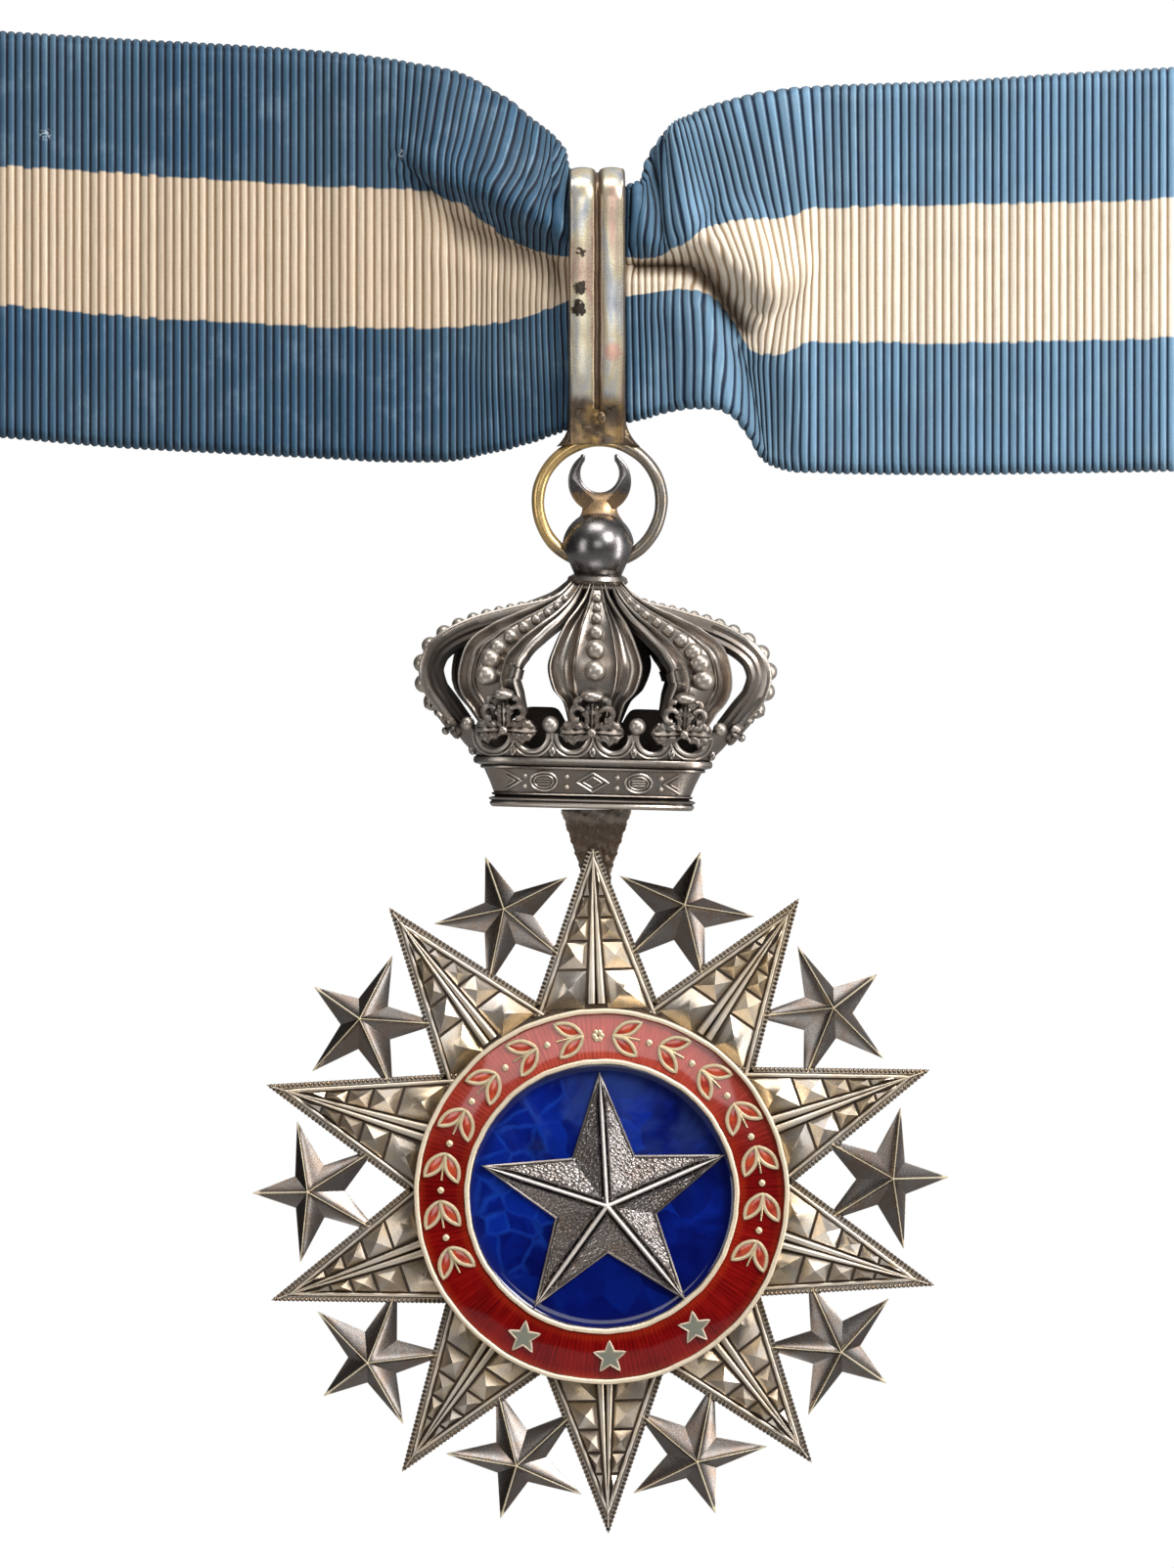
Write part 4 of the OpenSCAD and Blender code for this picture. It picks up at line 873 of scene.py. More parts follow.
class BuildRibbon(bpy.types.Operator):
    """Weave the whole loop of ribbon: gathered front, corners, and the plain way round the neck"""

    bl_idname = "insignia.build_ribbon"
    bl_label = "Ribbon"

    def execute(self, context):
        size = context.scene.insignia_ribbon
        width, pitch = size.width / MM, size.rib_pitch / MM
        body = size.body / MM / 2
        silk = ribbon_material(size)
        # Shares across the cloth of the points of one section: down the face, then up the back
        v_face = np.interp(np.linspace(0, 1, FACE_POINTS), (0, 0.22, 0.74, 1), (0, 0.26, 0.66, 1))
        v_back = np.linspace(1, 0, RING_POINTS - FACE_POINTS + 2)[1:-1]
        v = np.concatenate([v_face, v_back])
        side = np.concatenate([np.ones(FACE_POINTS), -np.ones(len(v_back))])
        near_edge = np.minimum(v, 1 - v) * width
        swell = side * np.sqrt(np.clip(1 - (1 - np.minimum(near_edge / 0.5, 1))**2, 0, 1)) * body

        # Ribs stand a little closer where the front is gathered
        dense_x = np.linspace(-FRONT_END, FRONT_END, 4000)
        closeness = 1 / (pitch * 1.015 - 0.18 * np.exp(-((dense_x + 4.0) / 13.5)**4)
            - 0.09 * np.exp(-((dense_x - 10.2) / 2.6)**2))
        ribs_so_far = np.concatenate([[0], np.cumsum((closeness[1:] + closeness[:-1]) / 2
            * np.diff(dense_x))])
        front_ribs = int(round(ribs_so_far[-1]))
        ribs_so_far *= front_ribs / ribs_so_far[-1]
        phase = np.linspace(0, front_ribs, front_ribs * 6 + 1)
        x = np.interp(phase, ribs_so_far, dense_x)

        right_ribs, left_ribs = (int(round(side_run(np.array([0.0]), v[:1], hand, width)[1] / pitch))
            for hand in (1, -1))
        ahead, behind = np.linspace(0, 1, right_ribs * 4 + 1)[1:], np.linspace(0, 1, left_ribs * 4 + 1)[1:-1]
        right = side_run(ahead, v, 1, width)[0]
        left = side_run(behind[::-1], v, -1, width)[0]
        middle = np.concatenate([front_run(x, v, width), right, left])
        runs = np.concatenate([phase, front_ribs + ahead * right_ribs,
            front_ribs + right_ribs + behind * left_ribs])

        order = np.argsort(v, kind="stable")
        along = np.roll(middle, -1, 0) - np.roll(middle, 1, 0)
        sorted_middle = middle[:, order]
        # Points with the same share sit on both faces, so the difference is taken over two rows
        wide = np.zeros_like(middle)
        wide[:, order[1:-1]] = sorted_middle[:, 2:] - sorted_middle[:, :-2]
        wide[:, order[0]] = sorted_middle[:, 2] - sorted_middle[:, 0]
        wide[:, order[-1]] = sorted_middle[:, -1] - sorted_middle[:, -3]
        outward = -unit(np.cross(along, wide))
        points = middle + outward * swell[None, :, None]

        fine = len(x)
        keep = []
        for i in range(len(middle)):
            step = 1 if i < fine - 1 and i > 0 else 2 if i in (0, fine - 1) else 4
            keep.append(np.arange(0, RING_POINTS, step))
        flat, run_values, across_values, first, total = [], [], [], [], 0
        for i, chosen in enumerate(keep):
            first.append(total)
            total += len(chosen)
            flat.append(points[i, chosen])
            run_values.append(np.full(len(chosen), runs[i] * pitch))
            across_values.append(v[chosen])
        faces = []
        for i in range(len(keep)):
            j = (i + 1) % len(keep)
            a, b, na, nb = first[i], first[j], len(keep[i]), len(keep[j])
            if na == nb:
                faces.extend((a + k, b + k, b + (k + 1) % na, a + (k + 1) % na) for k in range(na))
                continue
            fine_ring, coarse, nf, nc = (a, b, na, nb) if na > nb else (b, a, nb, na)
            for k in range(nc):
                f0, f1, f2 = fine_ring + 2 * k, fine_ring + (2 * k + 1) % nf, fine_ring + (2 * k + 2) % nf
                c0, c1 = coarse + k, coarse + (k + 1) % nc
                pair = [(f0, c0, f1), (f1, c0, c1, f2)]
                faces.extend(pair if na > nb else [p[::-1] for p in pair])
        flat = np.concatenate(flat)
        # Where the loop closes, the run falls back from its whole length to nothing
        piece = make_object("neck_ribbon", flat, faces, silk, 180,
            {"run": np.concatenate(run_values), "across": np.concatenate(across_values)})
        if volume_of(flat, faces) < 0:
            piece.data.flip_normals()
        apply_nodes(piece, rib_tree(), {"Rib Pitch": size.rib_pitch, "Rib Height": size.rib_height,
            "Silk": silk})
        settle(piece, "root", "ribbon_cloth", "ribbon")
        return {"FINISHED"}


# Bail, ring, orb and crescent

class BuildBail(bpy.types.Operator):
    """Bend the fluted strap over the ribbon and solder its foot to the ring"""

    bl_idname = "insignia.build_bail"
    bl_label = "Bail"

    def execute(self, context):
        size = context.scene.insignia_bail
        flute = size.flute / MM
        silver = bail_material(size)
        strap = Work()
        # The strap's inner face seen from the side, from the front foot over the top to the back foot
        r, top, foot = 2.5, 6.5, -15.9
        leg = np.linspace(0, 1, 40)
        bend = np.radians(np.linspace(0, 180, 41))[1:-1]
        lower = points_of(0.55 + (r - 0.55) * (1 - (1 - np.clip(leg * 3.2, 0, 1))**2),
            foot + (top - foot) * leg)
        path = np.concatenate([lower, points_of(r * np.cos(bend), top + r * np.sin(bend)),
            lower[::-1] * np.array([-1, 1])])
        along = unit(np.gradient(path, axis=0))
        out = points_of(along[:, 1], -along[:, 0])
        across = np.concatenate([[-2.68], np.linspace(-2.62, 2.62, 43), [2.68]])
        arc = np.sqrt(np.clip(1 - ((np.abs(across) - 1.40) / 1.26)**2, 0, 1))
        skin = 0.42 + flute * arc * 0.85 + 0.09 * np.exp(-((np.abs(across) - 2.52) / 0.10)**2)
        skin[[0, -1]] = 0.34
        skin -= 0.10 * np.exp(-(across / 0.22)**2)
        inner_x = np.array([2.66, 1.3, 0.0, -1.3, -2.66])
        section = np.concatenate([points_of(across, skin), points_of(inner_x, np.zeros(5))])
        depth = path[:, None, 0] + out[:, None, 0] * section[None, :, 1]
        height = path[:, None, 1] + out[:, None, 1] * section[None, :, 1]
        # The strap is dented a little along its length
        dent = 0.035 * np.sin(height * 0.9 + section[None, :, 0] * 0.6) + 0.02 * np.sin(height * 2.3 + 1.0)
        narrow = 1 - 0.012 * np.clip((height + 2) / 10, 0, 1)
        points = points_of(BAIL_X + section[None, :, 0] * narrow + dent * 0.5,
            depth + dent * np.sign(depth) * 0.5, height)
        strap.skin(front(points), 0.5)
        # Solder that fills the corner between strap and ring
        rows, columns = 26, 40
        t = np.linspace(0, 1, rows)[:, None]
        a = np.linspace(0, 2 * math.pi, columns, endpoint=False)[None, :]
        half = 2.62 + 1.35 * t**3.4
        deep = 3.0 - 1.9 * t**0.8
        lump = (1 + 0.10 * np.sin(3 * a + 5 * t) + 0.06 * np.sin(7 * a - 9 * t)
            + 0.05 * np.sin(11 * a + 14 * t))
        x = BAIL_X + 0.12 * t + half * np.sign(np.cos(a)) * np.abs(np.cos(a))**0.55
        d = deep * lump * np.sign(np.sin(a)) * np.abs(np.sin(a))**0.65
        sag = 0.25 * np.cos(a) ** 2 * t**3
        z = -12.9 - 3.45 * t - sag + 0.25 * np.sin(2 * a + 1) * (1 - t)
        strap.skin(front(points_of(x, d, z)), 0.6)
        strap.fit(front, ball((0.2, 2.72, -13.9), 0.55, 14, 20, (0.75, 0.6, 1.1)), 0.9)
        piece = strap.object("bail_strap", silver, 40)
        settle(piece, "root", "bail_silver", "suspension_loop")
        return {"FINISHED"}


class BuildRing(bpy.types.Operator):
    """Bend the round wire ring that the orb hangs on"""

    bl_idname = "insignia.build_ring"
    bl_label = "Ring"

    def execute(self, context):
        size = context.scene.insignia_bail
        ring = Work()
        a = np.linspace(0, 2 * math.pi, 160, endpoint=False)
        r = size.ring_radius / MM + 0.025 * np.sin(2 * a + 0.6) + 0.015 * np.sin(5 * a)
        path = points_of(RING_AT[0] + r * np.cos(a), 0.03 * np.sin(3 * a), RING_AT[1] + r * np.sin(a))
        wire = size.wire_radius / MM * (1 + 0.02 * np.sin(7 * a) + 0.015 * np.sin(13 * a + 1))
        ring.fit(front, tube(path, wire, 22, closed=True), 0.5)
        settle(ring.object("suspension_ring", ring_material(size), 180), "root", "bail_silver",
            "suspension_loop")
        return {"FINISHED"}


def orb_surface(radius, bore, rise, rounds=72, steps=44):
    """A sphere with a cross hole along x, as points about its middle, and the faces of both walls."""
    phi = np.linspace(0, 2 * math.pi, rounds, endpoint=False)[:, None]
    toward = -rise * np.sin(phi)
    aside = -rise * np.cos(phi)
    arc = np.sqrt(radius**2 - aside**2)
    start = np.arcsin(np.clip((bore - toward) / arc, -1, 1))
    angle = start + (math.pi - 2 * start) * np.linspace(0, 1, steps)[None, :]
    r, x = toward + arc * np.sin(angle), arc * np.cos(angle)
    inner_x = x[:, -1:] + (x[:, :1] - x[:, -1:]) * np.linspace(0, 1, 6)[None, 1:-1]
    x, r = np.concatenate([x, inner_x], 1), np.concatenate([r, np.full((rounds, 4), bore)], 1)
    points = points_of(x, r * np.cos(phi), rise + r * np.sin(phi))
    return points, grid_faces(rounds, points.shape[1], True, True)


class BuildFinial(bpy.types.Operator):
    """Turn the polished orb and seat the crescent on it"""

    bl_idname = "insignia.build_finial"
    bl_label = "Orb and crescent"

    def execute(self, context):
        size = context.scene.insignia_bail
        finial = Work()
        points, faces = orb_surface(size.orb_radius / MM, 1.5, BORE_RISE)
        finial.add(front(points + np.array([ORB_AT[0], 0, ORB_AT[1]])), faces, 0.6)
        # Crescent: outer round, inner round set higher, horns rounded at their tips
        outer = np.radians(np.linspace(128, 412, 90))
        inner = np.radians(np.linspace(400, 140, 70))
        outline = np.concatenate([points_of(2.98 * np.cos(outer), 2.98 * np.sin(outer)),
            [(1.78, 2.52), (1.58, 2.60), (1.38, 2.46)],
            points_of(1.83 * np.cos(inner), 0.80 + 1.83 * np.sin(inner)),
            [(-1.38, 2.46), (-1.58, 2.60), (-1.78, 2.52)]])
        outline = outline + np.array(CRESCENT_AT)
        finial.fit(front, cut_plate(outline, -0.62, 0.62, 0.2), 0.55)
        # Solder foot between the crescent and the orb
        rows, columns = 14, 32
        t = np.linspace(0, 1, rows)[:, None]
        a = np.linspace(0, 2 * math.pi, columns, endpoint=False)[None, :]
        half = 2.15 - 0.55 * np.sin(math.pi * np.clip(t * 1.05, 0, 1))**1.2 + 0.1 * t
        deep = 0.60 + 0.85 * t**1.6
        x = half * np.cos(a) * (1 + 0.02 * np.sin(5 * a))
        z = -21.35 - 2.2 * t - 0.30 * np.abs(np.cos(a)) * t
        points = points_of(x, deep * np.sin(a), z)
        finial.skin(front(points), 0.95)
        settle(finial.object("orb_and_crescent", finial_material(size), 40), "badge", "dark_silver",
            "orb_finial")
        return {"FINISHED"}


# Crown

# A row for each section of an arch, from the orb down: height over the band, sideways, forwards, width
FRONT_ARCH = np.array([(16.9, 0, 2.3, 1.4), (15.7, 0, 3.1, 2.3), (14.2, 0, 4.1, 4.0), (12.7, 0, 4.9, 6.1),
    (10.7, 0, 5.5, 7.9), (8.7, 0, 5.8, 9.0), (6.6, 0, 5.7, 8.0), (5.4, 0, 5.4, 6.0), (3.4, 0, 4.9, 4.8)])
DIAGONAL_ARCH = np.array([(16.7, 1.8, 1.7, 1.5), (15.2, 2.9, 2.9, 2.4), (13.9, 4.4, 3.6, 3.6),
    (12.7, 6.2, 4.1, 4.6), (11.2, 8.2, 4.5, 5.6), (9.4, 9.7, 4.7, 6.4), (7.4, 10.1, 4.7, 6.4),
    (5.4, 9.3, 4.5, 5.5), (3.4, 8.5, 4.3, 4.6)])
SIDE_ARCH = np.array([(16.5, 2.4, 0, 1.4), (15.1, 4.4, 0, 2.0), (14.2, 7.9, 0, 2.6), (13.1, 11.5, 0, 3.4),
    (11.6, 14.4, 0, 4.2), (10.0, 15.9, 0, 4.6), (8.2, 16.4, 0, 4.6), (6.2, 15.9, 0, 4.2), (4.4, 14.6, 0, 3.8),
    (2.6, 13.3, 0, 3.6)])
# Height over the band and radius of each pearl
FRONT_PEARLS = ((15.2, 0.40), (14.3, 0.44), (13.3, 0.54), (11.95, 0.74), (10.35, 0.94), (8.45, 1.02))
DIAGONAL_PEARLS = ((15.1, 0.33), (14.4, 0.36), (13.75, 0.40), (13.05, 0.47), (12.3, 0.56), (11.4, 0.68),
    (10.3, 0.82), (9.3, 0.96), (7.75, 1.04))
SIDE_PEARL_RADII = (0.92, 0.90, 0.88, 0.84, 0.78, 0.70, 0.63, 0.57, 0.52, 0.48, 0.44, 0.41, 0.38, 0.36)
# Height, half width and half depth of the pierced rim and of the band
CORONET = np.array([(4.6, 14.2, 5.35), (3.6, 14.0, 5.3), (1.4, 12.3, 4.9), (0.0, 10.9, 4.6)])
BAND = np.array([(0.15, 11.2, 4.9), (-0.55, 11.2, 4.9), (-0.75, 10.65, 4.45), (-3.55, 9.4, 3.95),
    (-3.75, 9.7, 4.2), (-4.6, 9.4, 4.1)])
LOOPS_X = (-9.4, -5.8, -2.0, 1.9, 5.6, 9.2)
BACK_ARCHES_ASIDE = {0: 0.9, 26: -0.9, -26: -0.7}
ORB_OVER_BAND = 20.12
# Radius and height over the band of the knob under the orb
CROWN_KNOB = ((0, 17.6), (2.2, 17.6), (2.75, 17.3), (2.9, 16.9), (2.6, 16.5), (2.95, 16.2), (2.6, 15.7),
    (0, 15.6))


def in_crown(points):
    """Turn (sideways, forwards, height over the band) into the row's frame."""
    points = np.array(points, float)
    points[..., 2] -= ORB_OVER_BAND
    return front(lean(points, CROWN_LEAN, ORB_AT))


def about(points, facing, place=(0.0, 0.0, 0.0)):
    """Turn (across, outwards, height) to face an angle to the right of forwards, and move it to a place."""
    points = np.asarray(points, float)
    a = math.radians(facing)
    return points_of(place[0] + points[..., 0] * math.cos(a) + points[..., 1] * math.sin(a),
        place[1] - points[..., 0] * math.sin(a) + points[..., 1] * math.cos(a), place[2] + points[..., 2])


def arch_section(width, depth, rim):
    """An arch cut across: raised rims, hollow fields, fine ridges and the pearls' bed; and its wear."""
    small = min(1.0, width / 6.0)
    rim = min(rim, 0.15 * width)
    bed = 0.46 * (width / 2 - rim)
    ridge = min(0.30, 0.12 * width)
    parts = [
        (np.linspace(0, 1, 7), lambda t: (width / 2 - rim * t,
            -0.16 * (1 - t)**4 + 0.34 * small**0.5 * np.sin(math.pi * t)**0.7,
            0.55 + 0.4 * np.sin(math.pi * t))),
        (np.linspace(0.08, 0.92, 8), lambda t: (width / 2 - rim + (bed + ridge - width / 2 + rim) * t,
            -0.62 * small * np.sin(math.pi * t)**0.8, 0.25 + 0 * t)),
        (np.linspace(0, 1, 5), lambda t: (bed + ridge * (1 - t),
            0.24 * small**0.5 * np.sin(math.pi * t)**0.7, 0.4 + 0.5 * np.sin(math.pi * t))),
        (np.linspace(0.06, 1, 5), lambda t: (bed * (1 - t),
            -0.10 * small * np.sin(math.pi * t / 2)**0.5, 0.30 + 0 * t))]
    u, n, wear = (np.concatenate([np.broadcast_to(f(t)[c], t.shape) for t, f in parts]) for c in range(3))
    u, n, wear = (np.concatenate([u, -u[-2::-1]]), np.concatenate([n, n[-2::-1]]),
        np.concatenate([wear, wear[-2::-1]]))
    back = width * np.array([-0.455, -0.49, -0.455, -0.49, -0.43, -0.15,
        0.15, 0.43, 0.49, 0.455, 0.49, 0.455])
    under = depth * np.array([-0.30, -0.46, -0.60, -0.78, -1, -1.05, -1.05, -1, -0.78, -0.60, -0.46, -0.30])
    worn = np.array([0.15, 0.6, 0.15, 0.6, 0.3, 0.1, 0.1, 0.3, 0.6, 0.15, 0.6, 0.15])
    return np.concatenate([u, back]), np.concatenate([n, under]), np.concatenate([wear, worn])


def arch_path(rows, facing, at):
    """Middle, direction across and direction outwards of an arch at shares of its length."""
    run = np.concatenate([[0], np.cumsum(np.linalg.norm(np.diff(rows[:, :3], axis=0), axis=1))])
    at = np.asarray(at) * run[-1]
    h, side, forward, width = (smooth_column(run, rows[:, c], at) for c in range(4))
    middle = points_of(side, forward, h)
    near_by = at + 0.05
    along = unit(np.stack([smooth_column(run, rows[:, c], near_by) - smooth_column(run, rows[:, c], at - 0.05)
        for c in (1, 2, 0)], -1) + 1e-9)
    a = math.radians(facing)
    across = np.array([math.cos(a), -math.sin(a), 0.0])
    across = unit(across - (along @ across)[:, None] * along)
    outward = np.cross(along, across)
    if outward[len(outward) // 2] @ np.array([math.sin(a), math.cos(a), 0]) < 0:
        outward = -outward
    return middle, across, outward, width


def height_share(rows, height):
    """Share of an arch's length at which it comes down to a height."""
    fine = np.linspace(0, 1, 400)
    middle = arch_path(rows, 0, fine)[0]
    return float(np.interp(-height, -middle[:, 2], fine))


def leaf_relief(long, wide, rise, lobes=3):
    """A chased leaf along +x: lobed outline, a vein down the middle and side veins; closed at the back."""
    s = np.linspace(0, 1, 26)[:, None]
    t = np.linspace(-1, 1, 17)[None, :]
    outline = wide * (0.34 + 0.66 * np.clip(s / 0.62, 0, 1)**0.8) * np.sqrt(1 - s**8)
    outline = outline * (1 - 0.20 * np.abs(np.sin(math.pi * (lobes * s + 0.15)))**3) + 0.03
    x = long * (s - 0.16 * np.abs(t)**2 * s**2)
    y = outline * t
    dome = (1 - t**2)**0.45 * np.sqrt(np.clip(1.02 - s**6, 0, 1)) * (0.55 + 0.45 * s)
    veins = 0.22 * np.abs(np.sin(math.pi * (lobes * s + 0.15 - 0.7 * np.abs(t))))**6 * (np.abs(t) > 0.15)
    veins = veins + 0.16 * np.exp(-((np.abs(t) - 0.24) / 0.10)**2) - 0.22 * np.exp(-(t / 0.11)**2) * (s < 0.9)
    curl = 0.25 * np.abs(t)**3
    d = rise * (dome - veins + curl)
    top = points_of(x, d, y)
    under = points_of(x, -0.5 + 0 * y, 0.92 * y)[:, ::-1]
    wear = np.clip(0.50 - 1.8 * veins, 0.1, 0.95) + 0 * dome
    wear = np.concatenate([wear, np.full(under.shape[:2], 0.2)], 1)
    points = np.concatenate([top, under[:, 1:-1]], 1)
    return points, capped(*points.shape[:2]), np.concatenate([wear[:, :17], wear[:, 18:-1]], 1)


def turn_in_face(points, degrees):
    a = math.radians(degrees)
    x, z = points[..., 0], points[..., 2]
    return points_of(x * math.cos(a) - z * math.sin(a), points[..., 1], x * math.sin(a) + z * math.cos(a))


def tipped(points, degrees):
    """Lean points (across, outwards, height) outwards about the foot."""
    a = math.radians(degrees)
    y, z = points[..., 1], points[..., 2]
    return points_of(points[..., 0], y * math.cos(a) + z * math.sin(a), z * math.cos(a) - y * math.sin(a))


def add_fleuron(work, facing, place, size=1.0, tip=12):
    """A leafy cross: a leaf up, one to each side, curled lobes between them and a boss in the middle."""
    for degrees, long, wide, rise in ((90, 3.0, 1.05, 0.60), (-4, 3.2, 1.38, 0.70), (184, 3.2, 1.38, 0.70)):
        points, faces, wear = leaf_relief(long, wide, rise)
        points = turn_in_face(points, degrees) * size + np.array([0, 0.25, 0])
        bend = -0.05 * points[..., 0:1]**2 * np.array([0, 1, 0])
        work.add(in_crown(about(tipped(points + bend, tip), facing, place)), faces, wear, 0.30)
    for x, z, r, squash in ((0, 0, 0.46, (1, 0.9, 1)), (0, 3.5, 1.12, (1.0, 0.85, 0.52))):
        points, faces = ball((0, 0, 0), r, 12, 20, squash)
        points = points * size + np.array([x, 1.0 if z == 0 else 0.6, z]) * size
        work.add(in_crown(about(tipped(points, tip), facing, place)), faces, 0.8)
    # Curls between the leaves, a hooked wire thickening to a ball
    for hand in (-1, 1):
        for middle, r, start, sweep in (((1.35, 1.75), 0.62, -100, 250), ((1.15, 2.75), 0.42, -110, 230)):
            a = np.radians(np.linspace(start, start + sweep, 16))
            curl = points_of(hand * (middle[0] + r * np.cos(a)), 0.45 + 0.35 * np.linspace(0, 1, 16),
                middle[1] + r * np.sin(a)) * size
            points, faces = tube(curl, np.linspace(0.36, 0.26, 16) * size, 8)
            work.add(in_crown(about(tipped(points, tip), facing, place)), faces, 0.6, 0.25)


def oblong_point(table, x, h, lift=0.0, hand=1):
    """A point on the front (hand 1) or back (hand -1) of the rim or band, x sideways and at height h."""
    a, b = (np.interp(h, table[::-1, 0], table[::-1, c]) for c in (1, 2))
    c = np.clip(np.abs(x) / a, 0, 1)**(1 / 0.74)
    d = b * (1 - c**2)**0.37 + lift
    return points_of(x, hand * d, h)


def oblong_ring(a, b, n=180):
    t = np.linspace(0, 2 * math.pi, n, endpoint=False)
    c, s = np.cos(t), np.sin(t)
    return a * np.sign(c) * np.abs(c)**0.74, b * np.sign(s) * np.abs(s)**0.74


def outline_wire(work, table, shape, h, radius, hand, lift=0.0, closed=True, wear=0.85):
    """A wire soldered on the band or rim along a shape given as (x, height) about a height."""
    path = oblong_point(table, shape[:, 0], shape[:, 1] + h, lift, hand)
    work.fit(in_crown, tube(path, radius, 8, closed, up=(0.0, 1.0, 0.001)), wear)


def pearl_tree():
    """Geometry nodes that set a round bead on every point, as large as its size says."""
    tree, get = new_group("Pearls", [("Places", "mesh", None), ("Sides", "count", 18),
        ("Silver", "material", None)], [("Beads", "mesh", None)])
    bead = made("GeometryNodeMeshUVSphere", {"Segments": get["Sides"], "Rings": 11, "Radius": 1.0}, tree=tree)
    bead = made("GeometryNodeSetShadeSmooth", {"Geometry": bead})
    size = made("GeometryNodeInputNamedAttribute", {"Name": "size"}, tree=tree, data_type="FLOAT")
    cloud = made("GeometryNodeMeshToPoints", {"Mesh": get["Places"]})
    copies = made("GeometryNodeInstanceOnPoints", {"Points": cloud, "Instance": bead,
        "Scale": made("ShaderNodeCombineXYZ", {0: size, 1: size, 2: size})})
    return finish_pieces(tree, copies, get["Silver"], "Beads")


def build_band(work):
    """Mouldings, sunk panel and base of the band, with a straight inner wall and a floor."""
    profile = [(0.15, -0.30), (0.15, -0.08), (0.06, 0.06), (-0.20, 0.12), (-0.46, 0.05), (-0.56, -0.10),
        (-0.62, -0.24), (-0.72, -0.20), (-0.76, 0.02), (-0.90, 0.05), (-0.98, -0.02), (-1.02, -0.26),
        (-2.15, -0.30), (-3.22, -0.26), (-3.27, -0.04), (-3.38, 0.04), (-3.47, -0.02), (-3.52, -0.24),
        (-3.60, -0.22), (-3.66, 0.0), (-3.78, 0.10), (-3.92, 0.06), (-3.98, -0.08), (-4.06, -0.08),
        (-4.12, 0.08), (-4.30, 0.16), (-4.50, 0.10), (-4.60, -0.06), (-4.60, -0.9), (0.15, -0.9)]
    rings, wear = [], []
    for h, out in profile:
        a, b = (np.interp(h, BAND[::-1, 0], BAND[::-1, c]) for c in (1, 2))
        x, d = oblong_ring(a + out, b + out)
        rings.append(points_of(x, d, h))
        wear.append(np.full(len(x), np.clip(0.45 + 3.2 * out, 0.1, 1.0)))
    points = np.stack(rings, 1)
    work.add(in_crown(points), grid_faces(*points.shape[:2], True, True), np.stack(wear, 1))
    x, d = oblong_ring(10.3, 4.1, 90)
    plate = np.stack([points_of(x, d, h) for h in (-0.1, -0.6)])
    work.skin(in_crown(plate), 0.15)
    for hand in (-1, 1):
        diamond = np.array([(-1.52, 0), (0, 0.90), (1.52, 0), (0, -0.90)])
        fine = np.concatenate([a + (b - a) * np.linspace(0, 1, 6, endpoint=False)[:, None]
            for a, b in zip(diamond, np.roll(diamond, -1, 0))])
        circle = np.radians(np.linspace(0, 360, 28, endpoint=False))
        for scale, radius in ((1.0, 0.12), (0.58, 0.08)):
            outline_wire(work, BAND, fine * scale, -2.12, radius, hand, -0.24)
            for side in (-1, 1):
                half = np.concatenate([fine[6:18] * np.array([side, 1]) * 0.95, [[0, -0.855]]]) * scale
                half[:, 0] = 8.15 * side - half[:, 0]
                outline_wire(work, BAND, half, -2.12, radius, hand, -0.24, closed=False)
        for x in (-4.6, 4.35):
            ring = points_of(1.25 * np.cos(circle), 0.88 * np.sin(circle)) + np.array([x, 0])
            outline_wire(work, BAND, ring, -2.12, 0.13, hand, -0.24)
            ring = points_of(0.92 * np.cos(circle), 0.60 * np.sin(circle)) + np.array([x, 0])
            outline_wire(work, BAND, ring, -2.12, 0.07, hand, -0.24)
            for rung in (-0.24, 0.0, 0.24):
                line = points_of(np.linspace(-0.62, 0.62, 8) + x, rung)
                outline_wire(work, BAND, line, -2.12, 0.06, hand, -0.25, closed=False)


def build_coronet(work):
    """The pierced wall over the band: scalloped openings with a raised double line round each."""
    n = 360
    x, d = oblong_ring(1.0, 1.0, n)
    wall = np.interp(2.0, CORONET[::-1, 0], CORONET[::-1, 1])
    # The back of the wall is closed, and stands higher between the arches
    top = np.where(d > -0.2, 3.1, 3.1 + 1.85 * np.exp(-((np.abs(x * wall) - 4.6) / 1.9)**6))
    for middle in LOOPS_X:
        away = np.abs(x * wall - middle)
        dip = 2.2 - np.sqrt(np.clip(1.6**2 - away**2, 0, None))
        top = np.where((away < 1.6) & (d > 0.3), np.minimum(top, dip), top)
    steps = np.linspace(0, 1, 12)
    rings, wear, dirt_and_shade = [], [], []
    for wall_in, order in ((0.0, steps), (0.9, steps[::-1])):
        for step in order:
            h = -0.1 + (top + 0.1) * step
            a, b = (np.interp(h, CORONET[::-1, 0], CORONET[::-1, c]) - wall_in for c in (1, 2))
            rings.append(points_of(x * a, d * b, h))
            wear.append(np.full(n, 0.45 if wall_in == 0 else 0.1))
            # The wall's inner face is made near black, a painted shade; its outer face is darkened a little
            dirt_and_shade.append(np.full(n, 0.25 if wall_in == 0 else 0.96))
    points = np.stack(rings, 1)
    work.add(in_crown(points), grid_faces(*points.shape[:2], True, True), np.stack(wear, 1),
        np.stack(dirt_and_shade, 1))
    arc = np.radians(np.linspace(172, 368, 28))
    for hand in (-1, 1):
        for middle in LOOPS_X:
            for r, radius, lift in ((1.52, 0.24, 0.02), (1.98, 0.13, 0.02)):
                shape = points_of(middle + r * np.cos(arc), np.maximum(r * np.sin(arc), -1.72 - 0.1 * r))
                outline_wire(work, CORONET, shape, 2.2, radius, hand, lift, closed=False)
        for post in (-11.4, -7.6, -3.9, -0.1, 3.8, 7.4, 11.2):
            points, faces = ball((0, 0, 0), 0.42, 8, 12, (0.9, 0.7, 1.3))
            work.add(in_crown(points + oblong_point(CORONET, post, 0.75, 0.0, hand)), faces, 0.6)


